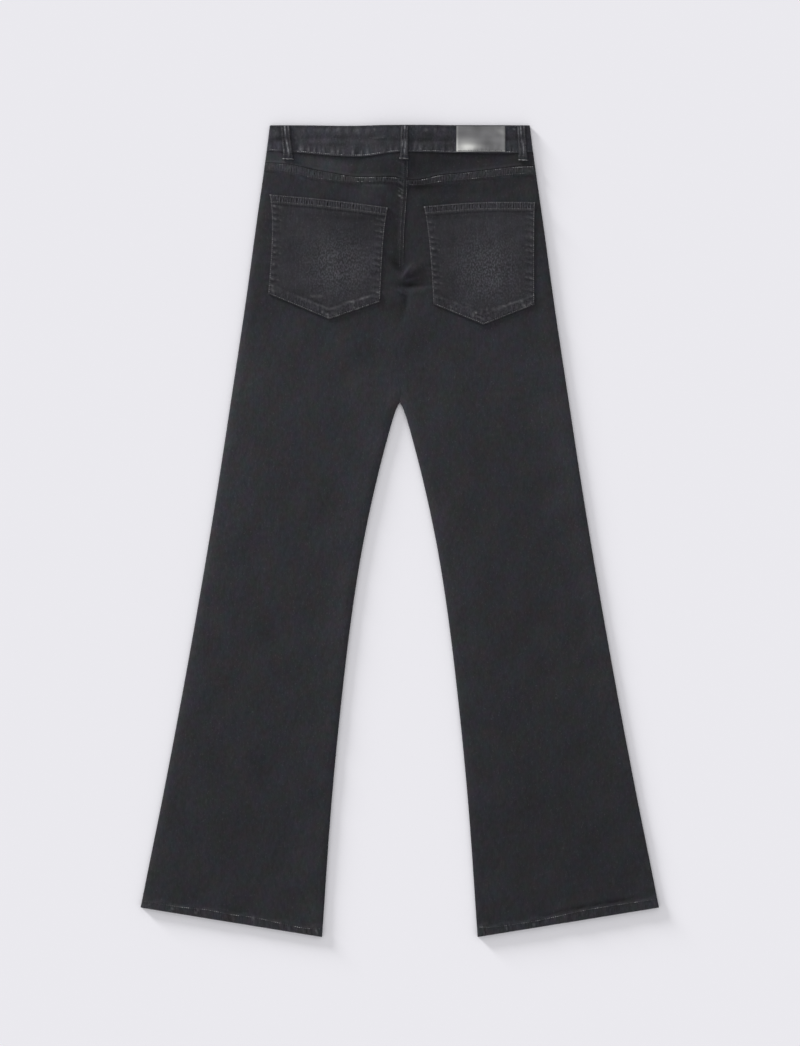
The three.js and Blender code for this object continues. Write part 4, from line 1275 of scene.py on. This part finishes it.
def patchMaterial():
    material, tree, shader = newMaterial("patchSatin", **{"Specular IOR Level": 0.5})
    place = node(tree, "TexCoord").outputs["Object"]
    # the wear attribute holds the painted highlight here, and the shade attribute painted shade
    sheen = node(tree, "Attribute", {"attribute_name": "wear"}).outputs["Fac"]
    level = node(tree, "Attribute", {"attribute_name": "shade"}).outputs["Fac"]
    grain = stretchedNoise(tree, place, (1, 1, 1), 900, 3)
    brushed = stretchedNoise(tree, place, (0.5, 1, 1), 260, 3)
    uneven = timesPlus(tree, grain, 0.16, math2(tree, "MULTIPLY", brushed, 0.2))
    level = math2(tree, "MULTIPLY", level, math2(tree, "ADD", uneven, 0.82))
    base = node(tree, "VectorMath", {"operation": "SCALE"}, n0=patch["colour"], Scale=level).outputs[0]
    colour = blendColour(tree, "MIX", sheen, base, (*patch["highlightColour"], 1))
    tree.links.new(colour, shader.inputs["Base Color"])
    tree.links.new(timesPlus(tree, grain, 0.2, 0.36), shader.inputs["Roughness"])
    bump = node(tree, "Bump", None, Strength=0.3, Distance=0.00015, Height=grain)
    tree.links.new(bump.outputs["Normal"], shader.inputs["Normal"])
    return material


def patchHeight(x, drop):
    return patch["wave"] * cloud(x, drop, 36, 101) + 0.35 * bandFine(x, drop)


def patchTop(x, drop):
    return bandInner(x, drop) + cut["bandWall"] + cut["gap"] + patchHeight(x, drop) + patch["wall"]


# the painted highlight of the satin patch, from 0 to 1
def patchHighlight(x, drop):
    lit = ovals(patch["highlightSpots"], x, drop) + 0.2 * hill(drop, 29.4, 3.4) * (1 - ease(x, 100, 122))
    lit = lit + 0.4 * hill(drop, 34.2, 2.3) * (1 - ease(x, 88, 104))
    lit = lit + 0.16 * hill(x + 0.5 * (drop - 9), 137, 7) * hill(drop - 0.45 * (x - 137), 9, 3.4)
    lit = lit + 0.06 * hill(x, 140, 3) + 0.14 * hill(drop, 35, 1) * ease(x, 96, 104)
    lit = lit + (0.12 + 0.3 * hill(drop, 28, 9)) * hill(x, patch["left"] + 1.2, 1.1)
    return np.clip(lit, 0, 1)


def makePatch():
    left, right, top, bottom = (patch[key] for key in ("left", "right", "top", "bottom"))
    x, drop = np.meshgrid(np.linspace(left, right, 46), np.linspace(top, bottom, 25))
    under = bandInner(x, drop) + cut["bandWall"] + cut["gap"] + patchHeight(x, drop)
    edge = np.minimum(np.minimum(x - left, right - x), np.minimum(drop - top, bottom - drop))
    over = under + patch["wall"] - 0.3 * hill(edge, 0, 0.9)
    # painted shade: darker in a diagonal band, along the top, at the edges and in a strip near the bottom,
    # with random tone
    shade = 1.04 - 0.16 * hill(x - 0.7 * drop, 100, 12) + 0.06 * cloud(x, drop, 24, 102)
    shade = shade - 0.14 * hill(drop, 2, 3) - 0.4 * hill(edge, 0, 0.7)
    shade = shade - 0.22 * hill(drop, 33, 0.8) * ease(x, 90, 98) + ovals(patch["tonesAndShade"], x, drop)
    # the painted highlight is stored as the cloth's wear attribute
    material, lit = patchMaterial(), patchHighlight(x, drop)
    piece = makeCloth("waistPatch", toWorld(x, drop, over), toWorld(x, drop, under), material, shade, lit)
    dress(piece, "patch", "waist_patch")


makePatch()

# Fly, zip and button, between the layers
fly = {
    "width": 34,
    "length": 112,
    "tape": 26,
    "tapeWall": 0.45,
    "zipWall": 0.8,  # the tape with its teeth
    "shieldWall": 0.9,
    "tooth": (3.2, 1.1, 0.45),  # across, along, high
    "pitch": 1.9,
    "tapeColour": (0.012, 0.012, 0.014),
    "brass": (0.2, 0.17, 0.11),
}


def tapeMaterial():
    material, tree, shader = newMaterial("zipTape", **{"Sheen Weight": 0.1})
    weave = node(tree, "Group", {"node_tree": twillWeave}, Ribs=1500.0)
    dyed = node(tree, "VectorMath", {"operation": "SCALE"}, n0=fly["tapeColour"],
                Scale=math2(tree, "ADD", weave.outputs["Height"], 0.5))
    tree.links.new(dyed.outputs[0], shader.inputs["Base Color"])
    bump = node(tree, "Bump", None, Strength=0.5, Distance=0.0002, Height=weave.outputs["Height"])
    tree.links.new(bump.outputs["Normal"], shader.inputs["Normal"])
    return material


def metalMaterial(name, colour, roughness):
    material, tree, shader = newMaterial(name, Metallic=1.0)
    place = node(tree, "TexCoord").outputs["Object"]
    tarnish = stretchedNoise(tree, place, (1, 1, 1), 600, 4)
    level = timesPlus(tree, between(tree, tarnish, 0.2, 0.8), 0.6, 0.6)
    toned = node(tree, "VectorMath", {"operation": "SCALE"}, n0=colour, Scale=level)
    tree.links.new(toned.outputs[0], shader.inputs["Base Color"])
    tree.links.new(timesPlus(tree, tarnish, 0.3, roughness), shader.inputs["Roughness"])
    bump = node(tree, "Bump", None, Strength=0.25, Distance=0.0001, Height=tarnish)
    tree.links.new(bump.outputs["Normal"], shader.inputs["Normal"])
    return material


def makeStrip(name, nodeName, slot, width, length, base, wall, material):
    top = float(frontTop(np.float64(0))) + cut["frontBand"] + 1
    x, drop = np.meshgrid(np.linspace(-width / 2, width / 2, 12), np.linspace(top, top + length, 30))
    under = frontUnder(x, drop) + base
    piece = makeCloth(name, toWorld(x, drop, under + wall), toWorld(x, drop, under), material)
    dress(piece, slot, nodeName)


zipBase = cut["denim"] + cut["gap"]
shieldBase = zipBase + fly["zipWall"] + cut["gap"]
makeStrip("zipTape", "fly_zip", "zip_tape", fly["tape"], fly["length"] - 4, zipBase, fly["tapeWall"],
          tapeMaterial())
makeStrip("flyShield", "fly_shield", "denim", fly["width"], fly["length"], shieldBase, fly["shieldWall"],
          denims["frontDenim"])


# small bevelled teeth, left and right in turn, joined in one piece
def makeTeeth():
    top = float(frontTop(np.float64(0))) + cut["frontBand"] + 6
    across, along, high = fly["tooth"]
    z = zipBase + fly["tapeWall"]
    points, faces = [], []
    for k in range(int((fly["length"] - 14) / fly["pitch"])):
        middle = 1.1 if k % 2 else -1.1
        drop = top + k * fly["pitch"]
        start = len(points)
        for inset, level in ((0, 0), (0, 0.6), (0.25, 1)):
            w, l = across / 2 - inset, along / 2 - inset * 0.6
            points += [(middle + sx * w, drop + sy * l, z + level * high)
                       for sx, sy in ((-1, 1), (1, 1), (1, -1), (-1, -1))]
        for ring in (0, 4):
            faces += [[start + ring + s, start + ring + (s + 1) % 4, start + ring + 4 + (s + 1) % 4,
                       start + ring + 4 + s] for s in range(4)]
        faces += [[start + 3, start + 2, start + 1, start], [start + 8, start + 9, start + 10, start + 11]]
    x, drop, z = np.array(points).T
    piece = makeMesh("zipTeeth", toWorld(x, drop, z), faces, metalMaterial("zipBrass", fly["brass"], 0.3), 30)
    dress(piece, "button_metal")


makeTeeth()
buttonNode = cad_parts["front_button"]
buttonNode.data.materials.clear()
buttonNode.data.materials.append(metalMaterial("buttonNickel", (0.3, 0.3, 0.31), 0.25))
print("fly closed")

# Sewing thread
thread = {
    "length": 1.75,
    "pitch": 2.75,
    "radius": 0.36,
    "sink": 0.05,
    "dark": (0.023, 0.023, 0.026),
    "pale": (0.36, 0.36, 0.37),
}


def threadMaterial():
    material, tree, shader = newMaterial("sewingThread", **{"Roughness": 0.7, "Specular IOR Level": 0.3})
    place = node(tree, "TexCoord").outputs["Object"]
    worn = node(tree, "Attribute", {"attribute_name": "wear"}).outputs["Fac"]
    fuzz = stretchedNoise(tree, place, (1, 1, 1), 1400, 2)
    amount = math2(tree, "MULTIPLY", worn, math2(tree, "ADD", fuzz, 0.5), True)
    colour = blendColour(tree, "MIX", amount, (*thread["dark"], 1), (*thread["pale"], 1))
    tree.links.new(colour, shader.inputs["Base Color"])
    bump = node(tree, "Bump", None, Strength=0.4, Distance=0.0001, Height=fuzz)
    tree.links.new(bump.outputs["Normal"], shader.inputs["Normal"])
    return material


sewingThread = threadMaterial()


# a unit stitch along x, with rounded ends
def oneStitch(sides=5):
    turns = np.arange(sides) * 2 * math.pi / sides
    rings = ((-0.5, 0.45), (-0.24, 1), (0.24, 1), (0.5, 0.45))  # place along the stitch, radius
    points = [(x, r * math.cos(t), r * math.sin(t)) for x, r in rings for t in turns]
    faces = []
    for start in range(0, 3 * sides, sides):
        for s in range(sides):
            after = (s + 1) % sides
            faces.append([start + after, start + s, start + sides + s, start + sides + after])
    faces += [list(range(sides)), [3 * sides + s for s in range(sides)][::-1]]
    return np.array(points), [face[::-1] for face in faces]


stitchPoints, stitchFaces = oneStitch()


# centres, directions and wear of the stitches along one row; path is (x, drop, z)
def placeStitches(path, worn, pitch, length, seed):
    path = np.asarray(path, float)
    steps = np.linalg.norm(np.diff(path, axis=0), axis=1)
    run = np.concatenate([[0], np.cumsum(steps)])
    middles = np.arange(pitch / 2, run[-1] - pitch / 3, pitch)
    rng = np.random.default_rng(seed)
    middles = middles + rng.uniform(-0.12, 0.12, len(middles)) * pitch

    def along(places):
        return np.stack([np.interp(places, run, path[:, k]) for k in range(3)], 1)

    ahead, behind = along(middles + length / 2), along(middles - length / 2)
    shade = np.interp(middles, run, np.broadcast_to(worn, len(path))) * rng.uniform(0.25, 1.5, len(middles))
    return along(middles), ahead - behind, np.clip(shade, 0, 1)


def makeStitches(name, rows, pitch=thread["pitch"], length=thread["length"]):
    radius = thread["radius"]
    parts = [placeStitches(path, worn, pitch, length, 300 + k) for k, (path, worn) in enumerate(rows)]
    place, run, shade = (np.concatenate([part[k] for part in parts]) for k in range(3))
    place[:, 2] += thread["sink"]
    run = run * (length / np.maximum(np.linalg.norm(run, axis=1, keepdims=True), 1e-6))
    aside = np.cross(run, (0, 0, 1.0))
    aside = aside / np.linalg.norm(aside, axis=1, keepdims=True)
    upward = np.cross(aside, run / length)
    along, sideways, above = stitchPoints.T
    points = (place[:, None] + run[:, None] * along[None, :, None]
              + radius * (aside[:, None] * sideways[None, :, None] + upward[:, None] * above[None, :, None]))
    count = len(stitchPoints)
    faces = [[k * count + v for v in face] for k in range(len(place)) for face in stitchFaces]
    x, drop, z = points.reshape(-1, 3).T
    piece = makeMesh(name, toWorld(x, drop, z), faces, sewingThread, 80)
    paint(piece, "wear", np.repeat(shade, count))
    dress(piece, "denim")
    return len(place)


def row(x, drop, surface):
    x, drop = np.broadcast_arrays(np.asarray(x, float), np.asarray(drop, float))
    return np.stack([x, drop, surface(x, drop)], 1)


def onLeg(side):
    return lambda x, drop: backOver(x, drop, side)


def onYoke(side):
    return lambda x, drop: backOver(x, drop, side, False)


bandRubbed = [  # x, half length, wear of the lower row of the waistband
    (-172, 6, 0.6), (-134, 7, 1), (-120.5, 2, 0.8), (-102, 12, 0.5), (-79.7, 1.3, 1), (-60, 9, 0.7),
    (-37, 13, 0.8), (-9, 7, 0.8), (20, 7, 0.2), (36, 5.5, 0.8), (52, 7, 0.9), (70, 7, 0.45),
    (147, 6, 0.7), (178, 3, 0.5),
]


def rubbedAlong(x, table, least):
    worn = least + sum(strength * np.exp(-(((x - atX) / half) ** 4)) for atX, half, strength in table)
    return np.clip(worn, 0, 1)


def sewWaist():
    x = np.linspace(-177, 177, 900)
    rows = [(row(x, bandDrop(x) - 1.8, bandOuter), rubbedAlong(x, bandRubbed, 0.1))]
    rows.append((row(x, 2 + bandTop(x), bandOuter), 0.05 + 0.08 * crests(puckers(x, 40, 202), 1)))
    x = np.linspace(patch["left"] + 2, patch["right"] - 2, 60)
    rows.append((row(x, patch["bottom"] - 1.7, patchTop), 0.35))
    return makeStitches("stitchesWaist", rows)


yokeRubbed = [  # the same for the upper row at the yoke seam, then for the lower one
    [(-161, 3, 0.5), (-77, 2, 0.7), (-67, 1, 0.6), (-52, 8, 0.9), (-38, 3, 0.8), (-20, 3, 0.5), (-9, 5, 1),
     (33, 4, 1), (50, 7, 0.9), (67, 1.2, 0.8), (92, 6, 0.5), (118, 1.2, 0.8), (133, 4, 0.6), (168, 15, 0.8)],
    [(-125.5, 1.2, 0.5), (-106, 2.4, 0.3), (-94, 1.6, 0.4), (-57, 2, 0.5), (-51, 2, 0.5),
     (-39, 2, 0.4), (15, 4, 0.2), (51, 4, 0.7), (100, 7, 0.4), (127, 2, 0.4), (149, 6, 0.2), (165, 4, 0.3)],
]


def sewYoke():
    rows = []
    for side, start, end in ((-1, -180, 6), (1, 13, 182)):
        x = np.linspace(start, end, 420)
        wide = fellWidth(x)
        rows.append((row(x, yokeDrop(x) + 1.8, onLeg(side)), rubbedAlong(x, yokeRubbed[0], 0.03)))
        rows.append((row(x, yokeDrop(x) + wide - 1.4, onLeg(side)), rubbedAlong(x, yokeRubbed[1], 0.02)))
    return makeStitches("stitchesYoke", rows)


def sewSeat():
    rows = []
    for aside, strength in ((1.5, 0.42), (5.8, 0.16)):
        drop = np.linspace(49, 72, 60)
        rows.append((row(seatX(drop) - aside, drop, onYoke(-1)), 0.5 * strength))
        drop = np.linspace(76, 192, 240)
        worn = 0.03 + strength * (1 - ease(drop, 150, 192)) * (0.6 + 0.4 * puckers(drop, 23, 64))
        rows.append((row(seatX(drop) - aside, drop, onLeg(-1)), worn))
    return makeStitches("stitchesSeat", rows)


hemRubbed = [  # the same for the hems
    (-302, 8, 0.4), (-290, 5, 1), (-262, 6, 0.4), (-250, 6, 0.5), (-223, 6, 1), (-205, 5, 0.5),
    (-184, 5, 0.5), (-168, 5, 0.8), (-138, 5, 1), (-126, 4, 0.5), (-107, 2, 1), (112, 7, 0.5),
    (144, 3, 0.3), (169, 3, 0.35), (187, 3, 0.3), (208, 9, 0.6), (221, 4, 0.4), (248, 3, 0.4),
    (270, 12, 0.35), (302, 6, 0.3), (320, 2, 0.5),
]


def sewHems():
    rows = []
    for side in (-1, 1):
        x = side * np.linspace(107.5, 349, 420)
        rows.append((row(x, hemDrop(x) - hemDepth(x) + 1.4, onLeg(side)), rubbedAlong(x, hemRubbed, 0.06)))
    return makeStitches("stitchesHem", rows)


def sewPocket(name, pocket):
    surface = lambda x, drop: pocketHeight(pocket, x, drop)[1]
    wide = pocket["top"][2] - pocket["top"][0]
    tall, across = np.linspace(0.02, 0.985, 220), np.linspace(0.012, 0.988, 260)
    seams = (  # share of the width, share of the height, distance further down, wear
        (1.3 / wide, tall, 0, 0.34),
        (1 - 1.3 / wide, tall, 0, 0.4),
        (across, 1.0, -1.5, 0.34),
        (across, 0.0, 1.6, 0.26),
        (across, 0.0, pocketStyle["hem"] - 2, 0.2),
    )
    rows = []
    for share, level, further, worn in seams:
        x, drop = pocketPlan(pocket, share, level)
        rows.append((row(x, drop + further, surface), worn))
    return makeStitches(name, rows)


# bar tacks: close short stitches across the ends of the loops and at the pocket corners
def sewTacks():
    rows = []
    for loop in loopTable.values():
        for along, strength in ((loop["low"] - 1.2, 0.8), (loop["low"] - 6.6, 0.16)):
            across = np.linspace(-1, 1, 30)
            middle = along + 0.5 * across
            x, under, high, _ = loopPoint(loop, middle, across)
            worn = strength * (0.35 + 0.65 * hill(across, 0, 0.36) + 0.6 * hill(across, -0.9, 0.16))
            for shift in (-0.4, 0.3):
                rows.append((np.stack([x, middle + shift, under + high - 0.05], 1), worn))
    for pocket in pocketTable.values():
        surface = lambda x, drop: pocketHeight(pocket, x, drop)[1]
        for share in (0.007, 0.993):
            for shift in (-0.003, 0.003):
                level = np.linspace(0.004, 0.026, 8)
                x, drop = pocketPlan(pocket, share + shift + 0 * level, level)
                rows.append((row(x, drop, surface), 0.5))
    return makeStitches("barTacks", rows, pitch=1.25, length=1.15)


def sewLoops():
    rows = []
    for loop in loopTable.values():
        along = np.linspace(3, loop["low"] - 7, 80)
        for across in (-0.66, 0.66):
            x, under, high, _ = loopPoint(loop, along, np.full(80, across))
            rows.append((np.stack([x, along, under + high], 1), 0.1))
    return makeStitches("stitchesLoops", rows)


total = sewWaist() + sewYoke() + sewSeat() + sewHems() + sewTacks() + sewLoops()
for name, pocket in pocketTable.items():
    total += sewPocket(name.replace("pocketBack", "stitchesPocket"), pocket)
print(total, "stitches")

# Floor, light and camera
studio = {
    "floorColour": (0.895, 0.886, 0.93),
    "skyStrength": 0.7,
    "sunStrength": 4.22,
    "sunHeight": 9.5,  # degrees above the floor
    "sunFrom": 135,  # degrees from +x, turning towards +y
    "sunSize": 12,
    "lens": 85,
    "sensor": 36,
    "frameHeight": 1417,  # what the picture takes in, in millimetres
    "frameLevel": 6,  # the height above the floor where it is measured
    "middle": (0.25, 11),
    "floorHalf": 6,  # in metres, as is the next one
    "floorDrop": 0.0002,
}


def floorMaterial():
    material, tree, shader = newMaterial("paleFloor", **{"Specular IOR Level": 0.0, "Roughness": 1.0})
    place = node(tree, "TexCoord").outputs["Object"]
    soft = stretchedNoise(tree, place, (1, 1, 1), 3, 2)
    level = timesPlus(tree, soft, 0.004, 0.998)
    toned = node(tree, "VectorMath", {"operation": "SCALE"}, n0=studio["floorColour"], Scale=level)
    tree.links.new(toned.outputs[0], shader.inputs["Base Color"])
    return material


def makeFloor():
    half, low = studio["floorHalf"], -studio["floorDrop"]
    corners = np.array([(-half, -half, low), (half, -half, low), (half, half, low), (-half, half, low)])
    floor = makeMesh("floor", corners, [[0, 1, 2, 3]], floorMaterial())


def makeLight():
    world = bpy.data.worlds.new("sky")
    bpy.context.scene.world = world
    world.use_nodes = True
    sky = world.node_tree.nodes["Background"]
    sky.inputs["Color"].default_value = (1, 1, 1, 1)
    sky.inputs["Strength"].default_value = studio["skyStrength"]
    lamp = bpy.data.lights.new("keyLight", "SUN")
    lamp.energy = studio["sunStrength"]
    lamp.angle = math.radians(studio["sunSize"])
    key = bpy.data.objects.new("keyLight", lamp)
    turn, height = math.radians(studio["sunFrom"]), math.radians(studio["sunHeight"])
    key.rotation_mode = "XYZ"
    key.rotation_euler = (0, math.pi / 2 - height, turn)
    bpy.context.collection.objects.link(key)


def makeCamera():
    lens = bpy.data.cameras.new("camera")
    lens.lens = studio["lens"]
    lens.sensor_width = studio["sensor"]
    camera = bpy.data.objects.new("camera", lens)
    distance = studio["frameHeight"] / 1000 / studio["sensor"] * studio["lens"]
    x, y = studio["middle"]
    camera.location = (x / 1000, y / 1000, distance + studio["frameLevel"] / 1000)
    bpy.context.collection.objects.link(camera)
    bpy.context.scene.camera = camera


makeFloor()
makeLight()
makeCamera()
bpy.context.scene.view_settings.view_transform = "Standard"
bpy.context.scene.view_settings.look = "None"
print("studio ready")
